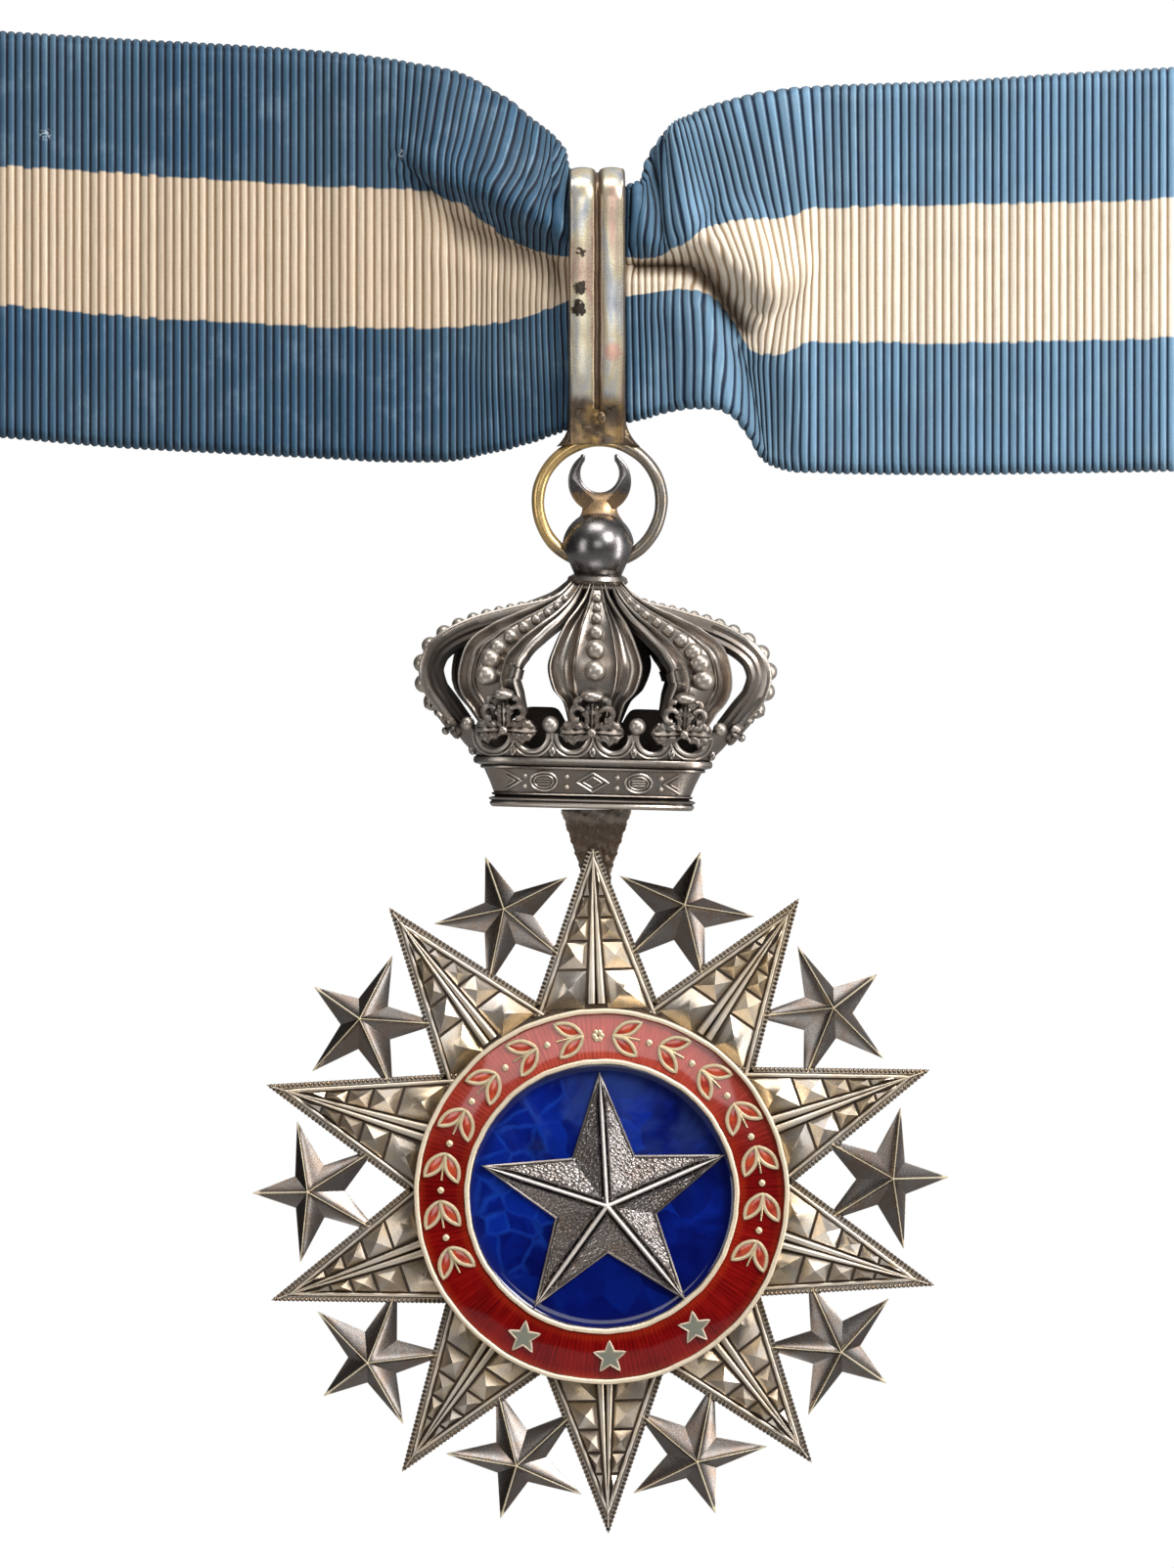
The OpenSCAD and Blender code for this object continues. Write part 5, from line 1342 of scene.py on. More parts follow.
class BuildCrown(bpy.types.Operator):
    """Cast the crown: arches with their pearls, leafy crosses, pierced rim and moulded band"""

    bl_idname = "insignia.build_crown"
    bl_label = "Crown"

    def execute(self, context):
        size = context.scene.insignia_crown
        depth, rim = size.arch_depth / MM, size.rim_width / MM
        silver = metal_material("cast_crown_silver", size.silver, (0.31, 0.22, 0.155), size.tarnish,
            reach=0.9, warm_share=0.45, toning=0.30, dirt=0.65, scratches=0.6, grain=0.010,
            hollow_limits=(0.2, 0.9), rubbed=(0.60, 0.54, 0.46), rubbing=0.35)
        crown, pearls, radii = Work(), [], []
        stations = np.linspace(0, 1, 52)
        half = [(FRONT_ARCH, 0, FRONT_PEARLS), (SIDE_ARCH, 90, None)]
        half += [(DIAGONAL_ARCH * np.array([1, hand, 1, 1]), 26 * hand, DIAGONAL_PEARLS) for hand in (-1, 1)]
        for back in (1, -1):
            turned_round = np.array([back, back, 1.0])
            for rows, facing, beads in half:
                middle, across, outward, width = arch_path(rows, facing, stations)
                sections = [arch_section(w, depth + (0.7 if facing == 90 else 0), rim) for w in width]
                points = np.stack([m + a * s[0][:, None] + o * s[1][:, None]
                    for m, a, o, s in zip(middle, across, outward, sections)])
                # The back arches stand a little off the front ones. The undersides of the arches are made
                # near black, a painted shade, save on one side arch, which is darkened only a little
                aside = BACK_ARCHES_ASIDE.get(facing, 0.0) if back == -1 else 0.0
                settled = np.sin(math.pi * np.clip(stations * 0.8 + 0.14, 0, 1))[:, None, None]
                dirt_and_shade = np.zeros(points.shape[:2])
                dirt_and_shade[:, -12:] = 0.9 if back == -1 or facing != 90 else 0.2
                crown.skin(in_crown(points * turned_round + settled * np.array([aside, 0, 0.4 * abs(aside)])),
                    np.stack([s[2] for s in sections]), dirt_and_shade)
                if beads is None:
                    run = np.linalg.norm(np.diff(rows[:, :3], axis=0), axis=1).sum()
                    at, beads_at = height_share(rows, 5.2) * run, []
                    for i, r in enumerate(SIDE_PEARL_RADII):
                        beads_at.append((at / run, r))
                        at -= r + SIDE_PEARL_RADII[min(i + 1, len(SIDE_PEARL_RADII) - 1)] + 0.12
                else:
                    beads_at = [(height_share(rows, h), r) for h, r in beads]
                for share, r in beads_at:
                    m, _, o, _ = arch_path(rows, facing, np.array([share, share, share]))
                    proud = 0.0 if beads is None else 0.42
                    pearls.append((m[0] + o[0] * proud * r) * turned_round)
                    radii.append(r)
        points, faces = disc(CROWN_KNOB, 48)
        crown.add(in_crown(points[:, [0, 2, 1]]), faces, 0.5)
        build_band(crown)
        build_coronet(crown)
        for hand in (1, -1):
            flip = 0 if hand == 1 else 180
            add_fleuron(crown, flip, (-0.2 * hand, 5.15 * hand, 2.8), 1.0, 14)
            for side in (-1, 1):
                add_fleuron(crown, flip + side * 12, (side * 8.35 * hand, 4.85 * hand, 2.8), 0.97, 12)
            add_fleuron(crown, 90 * hand, (13.3 * hand, 0, 2.9), 0.85, 34)
            for side in (-1, 1):
                pearls.append(np.array([side * 4.1, hand * 5.25, 3.25]))
                radii.append(0.80)
                pearls.append(np.array([side * 11.9, hand * 3.6, 3.2]))
                radii.append(0.62)
            for x in (-6.4, -2.45, 2.3, 6.45):
                for h in (-1.62, -2.62):
                    pearls.append(oblong_point(BAND, x, h, -0.22, hand))
                    radii.append(0.27)
        settle(crown.object("crown_body", silver, 38), "badge", "silver", "crown")
        places = make_object("crown_pearls", in_crown(np.array(pearls)), [], silver, 0,
            {"size": np.array(radii) * MM})
        beads = apply_nodes(places, pearl_tree(), {"Sides": 20, "Silver": silver})
        shine = beads.data.attributes.new("wear", "FLOAT", "POINT")
        shine.data.foreach_set("value", np.full(len(beads.data.vertices), 0.95, np.float32))
        settle(beads, "badge", "silver")
        return {"FINISHED"}


class BuildHanger(bpy.types.Operator):
    """Cut the dark plate that joins the crown to the star"""

    bl_idname = "insignia.build_hanger"
    bl_label = "Hanger plate"

    def execute(self, context):
        size = context.scene.insignia_crown
        heights = np.linspace(-50.9, -60.0, 60)
        left = np.interp(-heights, (50.9, 56.5, 60), (-3.7, -1.85, -1.3))
        right = np.interp(-heights, (50.9, 56.5, 60), (3.05, 1.15, 0.8))
        t = np.linspace(0, 1, 40)[None, :]
        x = left[:, None] + (right - left)[:, None] * t
        z = heights[:, None] + 0 * t
        ragged = 0.05 * np.sin(5.1 * z) + 0.04 * np.sin(11.3 * z + 2)
        x = x + ragged * (2 * t - 1)
        pits = (0.05 * np.sin(4.3 * x + 1.7 * z) * np.sin(3.9 * z - 2.2 * x)
            + 0.04 * np.sin(9.7 * x - 6.1 * z) * np.sin(8.3 * z)
            - 0.07 * np.clip(np.sin(5.7 * x + 0.6) * np.sin(6.3 * z + 1.1) - 0.4, 0, 1))
        edge = np.minimum(t, 1 - t) * (right - left)[:, None]
        face = -1.58 + pits - 0.12 * np.exp(-(edge / 0.12)**2)
        points = np.concatenate([points_of(x, face, z), points_of(x, np.full_like(x, -2.6), z)[:, ::-1]], 1)
        plate = Work()
        plate.skin(front(points), 0.2)

        def change(place, metal):
            z = parts_of(place)[2]
            patch = noise(place, 1.1, 5.0, 0.7, 0.4)
            level = z + (patch - 0.5) * 2.2
            # Painted highlight: a pale band along the top of the plate, where its rolled top edge would catch
            # the light
            pale = step_up(level, -78.6, -77.6)
            scraped = step_up(noise(place, 2.6, 4.0, 0.7), 0.56, 0.70)
            worn = mix(scraped * 0.55, metal, (0.28, 0.22, 0.17, 1))
            return mix(pale * 0.8, worn, (0.42, 0.36, 0.30, 1))
        dark = metal_material("pitted_dark_plate", (0.125, 0.095, 0.072), (0.18, 0.11, 0.07), size.tarnish,
            reach=0.5, warm_share=0.4, toning=0.6, gloss=0.42, scratches=0.8, grain=0.03,
            hollow_limits=(0.2, 0.9), colour_change=change)
        settle(plate.object("hanger", dark, 50), "badge", "dark_silver", "hanger_plate")
        return {"FINISHED"}


# Rayed star

RAYS = 10
PLATE_BACK, PLATE_FRONT = -1.5, -0.5
# Where the rows of pyramids begin and end along a ray, from the middle of the star
RAY_ROWS = (29.8, 27.3, 25.3, 23.1, 20.4, 16.6)
TOP_RAY = 31.8
EDGE_STRIP = 0.45
SMALL_ORBIT = 27.7
# Half outline of a small star about its peak, as (outwards, sideways), from its outer tip to its
# blunt inner arm
SMALL_STAR = np.array([(5.25, 0), (1.15, 1.5), (0.85, 6.7), (-1.55, 2.45), (-5.69, 3.72), (-6.04, 3.28),
    (-3.5, 0)])
SMALL_BACK, SMALL_EDGE = -1.3, -0.45


class Ray:
    """The ray's widths at a distance t from the star's middle."""

    def __init__(self, radius, valley):
        self.tip = radius
        self.slope = valley * math.sin(math.pi / RAYS) / (radius - valley * math.cos(math.pi / RAYS))
        self.foot = valley * math.cos(math.pi / RAYS) - 0.9
        # An inset square to the edge, as a distance across the ray
        self.skew = math.sqrt(1 + self.slope**2)

    def half(self, t, inset=0.0):
        return np.maximum((self.tip - t) * self.slope - inset * self.skew, 0.0)

    def rib(self, t):
        return 0.95 * np.maximum(self.tip - 0.6 - t, 0) / (self.tip - 17.2)

    def roof(self, t, x):
        return PLATE_FRONT + 0.15 + 0.75 * (1 - x / max(self.half(t), 0.1)) * min(1, (self.tip - t) / 6)


def local_front(points):
    """Turn (x, depth, height) about a middle in the front plane into the frame's directions."""
    points = np.asarray(points, float)
    return points_of(points[..., 0], -points[..., 1], points[..., 2])


def ray_mesh(ray, peak_rise):
    """Fillets, ribs and cut pyramids of one ray, pointing up, about the middle of the star."""
    work = Work()
    for hand in (-1, 1):
        # Plain raised fillet inside the milled edge
        t = np.linspace(ray.foot, ray.tip - 0.75, 34)
        middle = ray.half(t, EDGE_STRIP + 0.25)
        a = np.linspace(0, math.pi, 9)
        wide = np.minimum(0.23, 0.10 + middle)
        x = hand * (middle[:, None] + wide[:, None] * np.cos(a)[None, :])
        d = PLATE_FRONT + 0.22 + 0.34 * np.sin(a)[None, :]**0.7
        d = d + 0.03 * np.sin(t * 3.1 + hand)[:, None]
        top = points_of(x, d, t[:, None])
        foot = top[:, [8, 0]] * np.array([1, 0, 1]) + np.array([0, PLATE_FRONT - 0.05, 0])
        points = np.concatenate([top, foot], 1)
        wear = 0.35 + 0.65 * np.broadcast_to(np.sin(a), x.shape)**2
        wear = np.concatenate([wear, np.zeros((len(t), 2))], 1)
        work.skin(local_front(points), wear, 0.0)
        # Low bed of the milling
        t = np.linspace(ray.foot, ray.tip - 0.15, 30)
        outer, inner = ray.half(t, 0.02), ray.half(t, EDGE_STRIP)
        x = hand * np.stack([outer, outer, inner, inner], 1)
        d = np.broadcast_to(PLATE_FRONT + np.array([-0.05, 0.18, 0.18, -0.05]), x.shape)
        points = points_of(x, d, t[:, None])
        work.skin(local_front(points), 0.05)
        # Pyramids, a column to each side of the ribs
        for i in range(len(RAY_ROWS) - 1):
            t1, t0 = RAY_ROWS[i] - 0.14, RAY_ROWS[i + 1] + 0.14
            corner = []
            for along, outside in ((t1, False), (t1, True), (t0, True), (t0, False)):
                inner_x = float(ray.rib(along)) + 0.16
                outer_x = max(float(ray.half(along, EDGE_STRIP + 0.56)), inner_x + 0.14)
                corner.append((outer_x if outside else inner_x, along))
            corner = np.array(corner)
            middle = corner.mean(0)
            across = np.hypot(*(corner[1] - corner[0])) + np.hypot(*(corner[2] - corner[3]))
            rings, wear = [], []
            for share, lift, worn in ((1.0, None, 0.1), (1.0, 0.0, 0.40), (0.5, 0.5, 0.50),
                    (0.03, 0.98, 0.7)):
                ring = middle + (corner - middle) * share
                top = np.array([ray.roof(p[1], abs(p[0])) for p in corner])
                peak = ray.roof(middle[1], abs(middle[0])) + min(peak_rise, 0.22 + 0.30 * across)
                level = top + (peak - top) * lift if lift is not None else np.full(4, PLATE_FRONT - 0.05)
                rings.append(points_of(hand * ring[:, 0], level, ring[:, 1]))
                wear.append(np.full(4, worn))
            work.skin(local_front(np.stack(rings)), np.stack(wear))
    # Two tapering ribs with a groove between, run together at the tip
    t = np.linspace(17.2, ray.tip - 0.62, 44)
    q = np.linspace(-1, 1, 25)
    rise = np.interp(t, (17.2, ray.tip - 0.62), (1.60, 0.62))[:, None]
    part = np.clip((ray.tip - 2.0 - t) / 4, 0, 1)[:, None]
    bumps = part * np.abs(np.sin(math.pi * np.abs(q)**1.15))[None, :]**0.35 + (1
        - part) * np.cos(math.pi * q / 2)[None, :]**0.5
    x = np.maximum(ray.rib(t), 0.10)[:, None] * q[None, :]
    d = PLATE_FRONT + rise * (0.66 + 0.34 * bumps) - 0.06
    d[:, [0, -1]] = PLATE_FRONT - 0.05
    top = points_of(x, d, t[:, None])
    wear = np.clip(0.1 + 0.85 * bumps, 0, 1) * np.ones_like(x)
    work.skin(local_front(top), wear)
    return work


def ridged_arm(work, tips, valleys, peak, edge, back, stations, profile, worn, turn_to):
    """One arm of a ridged star; tips and valleys are its left and right points, (x, height) from the peak."""
    tips, valleys = np.asarray(tips, float), np.asarray(valleys, float)
    s = np.asarray(stations)[:, None]
    tip = tips.mean(0)
    ridge = points_of(s[:, 0] * tip[0], peak + (edge + 0.12 - peak) * s[:, 0], s[:, 0] * tip[1])
    faces_of, worn_of = [], []
    for k in (0, 1):
        flat = valleys[k] + (tips[k] - valleys[k]) * s
        rim = points_of(flat[:, 0], edge, flat[:, 1])
        reach = rim - ridge
        wide = np.linalg.norm(reach[:, [0, 2]], axis=1)
        share, lift, wear = profile(wide)
        points = ridge[:, None] + share[..., None] * reach[:, None]
        points[..., 1] += lift
        faces_of.append(points)
        worn_of.append(wear)
    left = np.concatenate([faces_of[0][:, ::-1], faces_of[1][:, 1:]], 1)
    wear = np.concatenate([worn_of[0][:, ::-1], worn_of[1][:, 1:]], 1)
    foot = left[:, [-1, 0]].copy()
    foot[..., 1] = back
    points = np.concatenate([left, foot], 1)
    wear = np.concatenate([wear, np.full((len(s), 2), worn)], 1)
    work.skin(turn_to(points), wear)


def small_profile(wide):
    """A small star's face across half an arm: bright sharp ridge, then a slightly hollow field."""
    near_ridge = np.minimum(np.array([0.0, 0.05, 0.11, 0.18])[None, :], 0.5 * wide[:, None])
    field = np.linspace(0.3, 0.93, 5)[None, :] * np.ones((len(wide), 1))
    share = np.concatenate([near_ridge / np.maximum(wide[:, None], 1e-6),
        np.maximum(field, 0.5 * near_ridge[:, -1:] / np.maximum(wide[:, None], 1e-6) + 0.3 * field),
        np.ones((len(wide), 1))], 1)
    share = np.sort(np.clip(share, 0, 1), 1)
    mm = share * wide[:, None]
    size = np.minimum(1, wide / 1.5)[:, None]
    lift = 0.08 * size * np.exp(-(mm / 0.12)**2) - 0.08 * size * np.sin(math.pi * share)**0.8
    wear = 0.30 + 0.70 * np.exp(-(mm / 0.17)**2) + 0.45 * np.exp(-((1 - share) * wide[:, None] / 0.14)**2)
    return share, lift, np.clip(wear, 0, 1)


def round_tree():
    """Geometry nodes that set copies of a piece round a middle, all turned by the same step."""
    tree, get = new_group("Round the star", [("Piece", "mesh", None), ("Copies", "count", 10),
        ("First", "value", 0.0), ("Step", "value", 0.628), ("Middle", "vector", None),
        ("Silver", "material", None)], [("Star", "mesh", None)])
    line = made("GeometryNodeMeshLine", {"Count": get["Copies"], "Start Location": (0, 0, 0),
        "Offset": (0, 0, 0)})
    number = made("GeometryNodeInputIndex", tree=tree)
    angle = get["First"] + number * get["Step"]
    turn = made("FunctionNodeEulerToRotation", {0: made("ShaderNodeCombineXYZ", {1: angle})})
    spot = made("GeometryNodeMeshToPoints", {"Mesh": line})
    copies = made("GeometryNodeInstanceOnPoints", {"Points": spot, "Instance": get["Piece"],
        "Rotation": turn})
    moved = made("GeometryNodeTranslateInstances", {"Instances": copies, "Translation": get["Middle"],
        "Local Space": False})
    return finish_pieces(tree, moved, get["Silver"], "Star")


def milled_tree():
    """Geometry nodes that cut milling: a small ridge across the edge at every point of a path."""
    tree, get = new_group("Milled edge", [("Path", "mesh", None), ("Pitch", "value", 0.00042),
        ("Tooth", "vector", (0.00050, 0.00050, 0.00034)), ("Silver", "material", None)],
        [("Edge", "mesh", None)])
    curve = made("GeometryNodeMeshToCurve", {"Mesh": get["Path"]})
    resampled = made("GeometryNodeResampleCurve", {"Curve": curve, "Length": get["Pitch"]}, mode="LENGTH")
    spots = put(tree, "GeometryNodeCurveToPoints", {"Curve": resampled}, mode="EVALUATED")
    tooth = made("GeometryNodeMeshIcoSphere", {"Radius": 0.5, "Subdivisions": 1}, tree=tree)
    along = made("FunctionNodeAlignRotationToVector", {"Vector": Value(spots.outputs["Tangent"])}, axis="Z")
    copies = made("GeometryNodeInstanceOnPoints", {"Points": Value(spots.outputs[0]), "Instance": tooth,
        "Rotation": along, "Scale": get["Tooth"]})
    return finish_pieces(tree, copies, get["Silver"], "Edge")


class BuildStar(bpy.types.Operator):
    """Strike the ten-rayed star: cut rays with milled edges, and the small stars soldered between them"""

    bl_idname = "insignia.build_star"
    bl_label = "Rayed star"

    def execute(self, context):
        size = context.scene.insignia_star
        ray = Ray(size.radius / MM, size.valley / MM)
        ray.foot -= 0.5

        def toned_and_painted_light(place, metal):
            x, _, z = parts_of(place)
            # Painted light: golden toning shows only on the upper right rays, where the light falls
            lit_upper_right = step_up(x * 0.6 + (z * 0.8 + 78.0), -4.0, 30.0)
            patch = noise(place, 0.16, 3.0, 0.6)
            golden = lit_upper_right * step_up(patch, 0.35, 0.6)
            metal = mix(golden * 0.80, metal, (0.58, 0.41, 0.18, 1))
            # Painted shade dulls the lower rays and those on the left
            low = step_down(z, -142.0, -101.0)
            shaded_left = step_down(x, -26.0, 8.0)
            metal = mix(calc("MAXIMUM", low, shaded_left) * 0.5, metal, (0.37, 0.31, 0.26, 1))
            cool = step_up(noise(place, 0.11, 2.0, 0.5), 0.5, 0.7)
            metal = mix(cool * 0.35, metal, (0.42, 0.43, 0.46, 1))
            # Brown round the medallion, where the rays run under it: dirt, and painted shadow of the
            # medallion
            away = from_medal(place)[2] + noise(place, 0.7, 3.0, 0.6) * 1.6
            foot = step_down(away, 18.4, 22.2)
            return mix(foot * 0.80, metal, (0.13, 0.095, 0.06, 1))

        silver = metal_material("cut_ray_silver", size.silver, size.gilding, size.tarnish, reach=0.7,
            warm_share=0.40, toning=0.28, dirt=0.42, gloss=0.31, grain=0.004, hollow_limits=(0.05, 0.72),
            colour_change=toned_and_painted_light, rubbed=(0.68, 0.60, 0.49), rubbing=0.5)
        dark = metal_material("milled_dark_silver", (0.10, 0.08, 0.065), (0.20, 0.12, 0.06), size.tarnish,
            reach=0.5, warm_share=0.5, toning=0.5, gloss=0.36, scratches=0.4, grain=0.01,
            hollow_limits=(0.25, 0.95))
        star_metal = metal_material("small_star_silver", (0.155, 0.142, 0.133), (0.15, 0.10, 0.07),
            (0.03, 0.024, 0.022), reach=1.0, warm_share=0.6, toning=0.5, dirt=0.35, gloss=0.26, scratches=0.6,
            hollow_limits=(0.1, 0.8), rubbed=(0.84, 0.72, 0.50), rubbing=0.95)
        middle = tuple(front((STAR_AT[0], 0, STAR_AT[1])) * MM)
        step, tilt = 2 * math.pi / RAYS, -math.radians(STAR_LEAN)
        tree = round_tree()

        rays = ray_mesh(ray, size.pyramid / MM).object("ray_faces", silver, 32)
        apply_nodes(rays, tree, {"Copies": RAYS - 1, "First": tilt + step, "Step": step, "Middle": middle,
            "Silver": silver})
        settle(rays, "badge", "silver")
        top = ray_mesh(ray, size.pyramid / MM)
        top.points = [np.where((p[:, 2] > TOP_RAY)[:, None],
            p * np.array([1, 1, 0]) + np.array([0, 0, 1]) * (TOP_RAY + 0.02 * (p[:, 2:3] - TOP_RAY)), p)
            for p in top.points]
        top = top.object("top_ray_faces", silver, 32)
        apply_nodes(top, tree, {"Copies": 1, "First": tilt, "Step": step, "Middle": middle, "Silver": silver})
        settle(top, "badge", "silver")

        # Flat plate of the whole star under its relief
        corners = []
        for k in range(2 * RAYS):
            a = math.radians(90 - 18 * k)
            r = ray.tip if k % 2 == 0 else size.valley / MM
            if k == 0:
                w = float(ray.half(TOP_RAY))
                corners += [(-w, TOP_RAY), (w, TOP_RAY)]
            else:
                corners.append((r * math.cos(a), r * math.sin(a)))
        points, faces = cut_plate(np.array(corners), PLATE_BACK, PLATE_FRONT, 0.12)
        plate = Work()
        plate.add(front(lean(points, -STAR_LEAN, STAR_AT)), faces, 0.25)
        # A lug is left behind the small star to the right of the top ray
        lug, lug_faces = ball((9.3, PLATE_BACK + 0.1, 27.4), 1.0, 12, 16, (0.62, 0.45, 1.9))
        plate.add(front(lean(lug, -STAR_LEAN, STAR_AT)), lug_faces, 0.55)
        settle(plate.object("star_plate", dark, 30), "badge", "dark_silver", "ray_star")

        # Milling along both edges of every ray
        paths, edges = [], []
        for k in range(RAYS):
            a = math.radians(-36 * k)
            for hand in (-1, 1):
                end = TOP_RAY - 0.1 if k == 0 else ray.tip - 0.45
                line = []
                for t in (ray.foot, end):
                    x = hand * max(float(ray.half(t, 0.17)), 0.0)
                    line.append((x * math.cos(a) + t * math.sin(a), PLATE_FRONT + 0.16,
                        -x * math.sin(a) + t * math.cos(a)))
                edges.append((len(paths), len(paths) + 1))
                paths += line
        points = front(lean(np.array(paths), -STAR_LEAN, STAR_AT)) * MM
        mesh = bpy.data.meshes.new("ray_milling")
        mesh.from_pydata(points.tolist(), edges, [])
        milling = bpy.data.objects.new("ray_milling", mesh)
        context.scene.collection.objects.link(milling)
        apply_nodes(milling, milled_tree(), {"Pitch": 0.00041, "Silver": dark})
        settle(milling, "badge", "dark_silver")

        # Small stars, the inner arms blunt where they are soldered to the rays
        one = Work()
        tip, in1, side, in2, blunt1, blunt2, foot = SMALL_STAR
        stations = np.array([0, 0.08, 0.2, 0.35, 0.5, 0.65, 0.8, 0.9, 0.96, 0.99])
        peak = SMALL_EDGE + size.small_rise / MM

        def seat(points):
            points = np.array(points, float)
            points[..., 2] += SMALL_ORBIT
            return local_front(points)

        def flip(p, hand=1):
            return np.array([hand * p[1], p[0]])
        arms = [((flip(tip), flip(tip)), (flip(in1, -1), flip(in1)))]
        for hand in (-1, 1):
            arms.append(((flip(side, hand),) * 2, (flip(in1, hand), flip(in2, hand))))
            arms.append(((flip(blunt1, hand), flip(blunt2, hand)), (flip(in2, hand), flip(foot, hand))))
        for tips, valleys in arms:
            ridged_arm(one, tips, valleys, peak, SMALL_EDGE, SMALL_BACK, stations, small_profile, 0.3, seat)
        stars = one.object("small_stars", star_metal, 25)
        apply_nodes(stars, tree, {"Copies": RAYS, "First": tilt + step / 2, "Step": step, "Middle": middle,
            "Silver": star_metal})
        settle(stars, "badge", "silver")
        return {"FINISHED"}


# Medallion

BASE_FRONT, FLOOR, RIM_FRONT, RED_FRONT, BLUE_FRONT = -0.47, 0.43, 2.5, 2.3, 1.15
RED_INNER, RED_OUTER = 13.02, 17.22
RED_MIDDLE = 15.2
CENTRE_BACK, CENTRE_EDGE, CENTRE_PEAK = 1.18, 1.53, 3.85
LEAF_PAIRS, LEAF_STEP = 7, 17
RING_STAR_ANGLES = (239.8, 271.6, 304.1)


def on_medal(points):
    """Turn (x, depth, height) about the medallion's middle into the row's frame."""
    return front(lean(points, -STAR_LEAN, MEDAL_AT))


def finish_enamel(material, colour, bump):
    """Matt colour over its uneven ground, seen through a smooth clear surface."""
    return finish_material(material, {"Base Color": colour, "Roughness": 0.45, "Metallic": 0.0,
        "Normal": bump, "Specular IOR Level": 0.0, "Coat Weight": 1.0, "Coat Roughness": 0.06,
        "Coat IOR": 1.5})


def red_enamel(size):
    """Clear red enamel over radial engine turning, brighter where it thins at the rims, with a painted pink
    reflection over its upper part.
    """
    material, _, place = new_material("red_enamel")
    x, z, away = from_medal(place)
    turns = calc("ARCTAN2", z, x) / (2 * math.pi)
    cuts = turns * float(size.turning)
    wave = calc("ABSOLUTE", calc("SINE", cuts * math.pi))
    unsteady = noise(joined(turns * 260.0, away * 0.25, 0.0), 1.0, 3.0, 0.6)
    cloudy = noise(place, 0.22, 3.0, 0.55, 0.4)
    side = calc("ABSOLUTE", away - RED_MIDDLE)
    thin = step_up(side, 1.2, 1.95)
    patchy = step_up(noise(place, 0.35, 2.0, 0.5), 0.38, 0.62)
    lines = 1.0 - (1.0 - wave) * patchy
    red = mix(lines, (0.075, 0.001, 0.001, 1), opaque(size.red))
    red = mix(step_up(unsteady, 0.42, 0.72) * 0.45, red, (0.26, 0.008, 0.005, 1))
    red = mix(thin * 0.40, red, (0.32, 0.026, 0.006, 1))
    red = mix(step_up(cloudy, 0.40, 0.70) * 0.40, red, (0.055, 0.0010, 0.0016, 1))
    # Painted reflection: the upper part of the red is washed pink, as if it mirrored a light
    upper = step_up(z, 2.0, 16.0) * span(unsteady, 0.35, 0.65, 0.45, 0.75)
    red = mix(upper, red, (0.48, 0.085, 0.055, 1))
    bump = made("ShaderNodeBump", {"Strength": 0.8, "Distance": 0.04 * MM, "Height": wave + unsteady})
    return finish_enamel(material, red, bump)


def blue_enamel(size):
    """Cobalt enamel over a hammered ground: lighter cell lines, cloudy patches above, deeper below, and
    painted shadow round its edge under the rim.
    """
    material, _, place = new_material("blue_enamel")
    x, z, away = from_medal(place)
    warped = shaken(place, {"Scale": 0.35, "Detail": 2.0})
    cells = made("ShaderNodeTexVoronoi", {"Vector": warped, "Scale": 0.34, "Randomness": 0.95},
        output="Distance", feature="DISTANCE_TO_EDGE")
    line = step_down(cells, 0.0, 0.10)
    left = 0.62 - x * 0.035
    shown = step_up(noise(place, 0.20, 2.0, 0.5) * left, 0.30, 0.52)
    cloudy = noise(place, 0.24, 4.0, 0.6, 0.6)
    up = step_up(z, -3.0, 12.0)
    blue = mix(step_up(cloudy, 0.35, 0.68), opaque(size.blue), (0.0015, 0.012, 0.19, 1))
    # Each hammered facet of the ground throws back more or less light
    facet = made("ShaderNodeTexVoronoi", {"Vector": warped, "Scale": 0.34, "Randomness": 0.95},
        output="Color")
    facet = parts_of(facet)[0]
    blue = mix(span(facet, 0.45, 0.0, 0.0, 0.60), blue, (0.0004, 0.0018, 0.040, 1))
    blue = mix(span(facet, 0.60, 1.0, 0.0, 0.55), blue, (0.002, 0.024, 0.27, 1))
    blue = mix(line * (shown * 0.40), blue, (0.010, 0.060, 0.40, 1))
    pale = up * step_up(noise(place, 0.13, 3.0, 0.6, 0.8), 0.45, 0.72)
    blue = mix(pale * 0.40, blue, (0.045, 0.085, 0.26, 1))
    low = step_down(z, -10.0, -1.0)
    blue = mix(low * 0.55, blue, (0.0006, 0.0022, 0.065, 1))
    # Painted shadow where the rim stands over the enamel's edge
    edge = step_up(away, size.blue_radius / MM - 1.5, size.blue_radius / MM)
    blue = mix(edge * 0.7, blue, (0.002, 0.004, 0.06, 1))
    bump = made("ShaderNodeBump", {"Strength": 0.8, "Distance": 0.08 * MM, "Height": cloudy})
    return finish_enamel(material, blue, bump)


def leaf_interior():
    """Thin orange-red enamel inside the wire leaves."""
    material, _, place = new_material("leaf_enamel")
    cloudy = noise(place, 1.2, 2.0, 0.5)
    red = mix(step_up(cloudy, 0.35, 0.65), (0.27, 0.014, 0.004, 1), (0.42, 0.050, 0.010, 1))
    return finish_material(material, {"Base Color": red, "Roughness": 0.3, "Metallic": 0.0,
        "Coat Weight": 1.0, "Coat Roughness": 0.07})


def red_level(r):
    """Depth of the red field's face, which falls away a little towards the outer rim."""
    share = np.clip((np.asarray(r) - RED_INNER) / (RED_OUTER - RED_INNER), 0, 1)
    return RED_FRONT - 0.04 - 0.36 * share**1.7


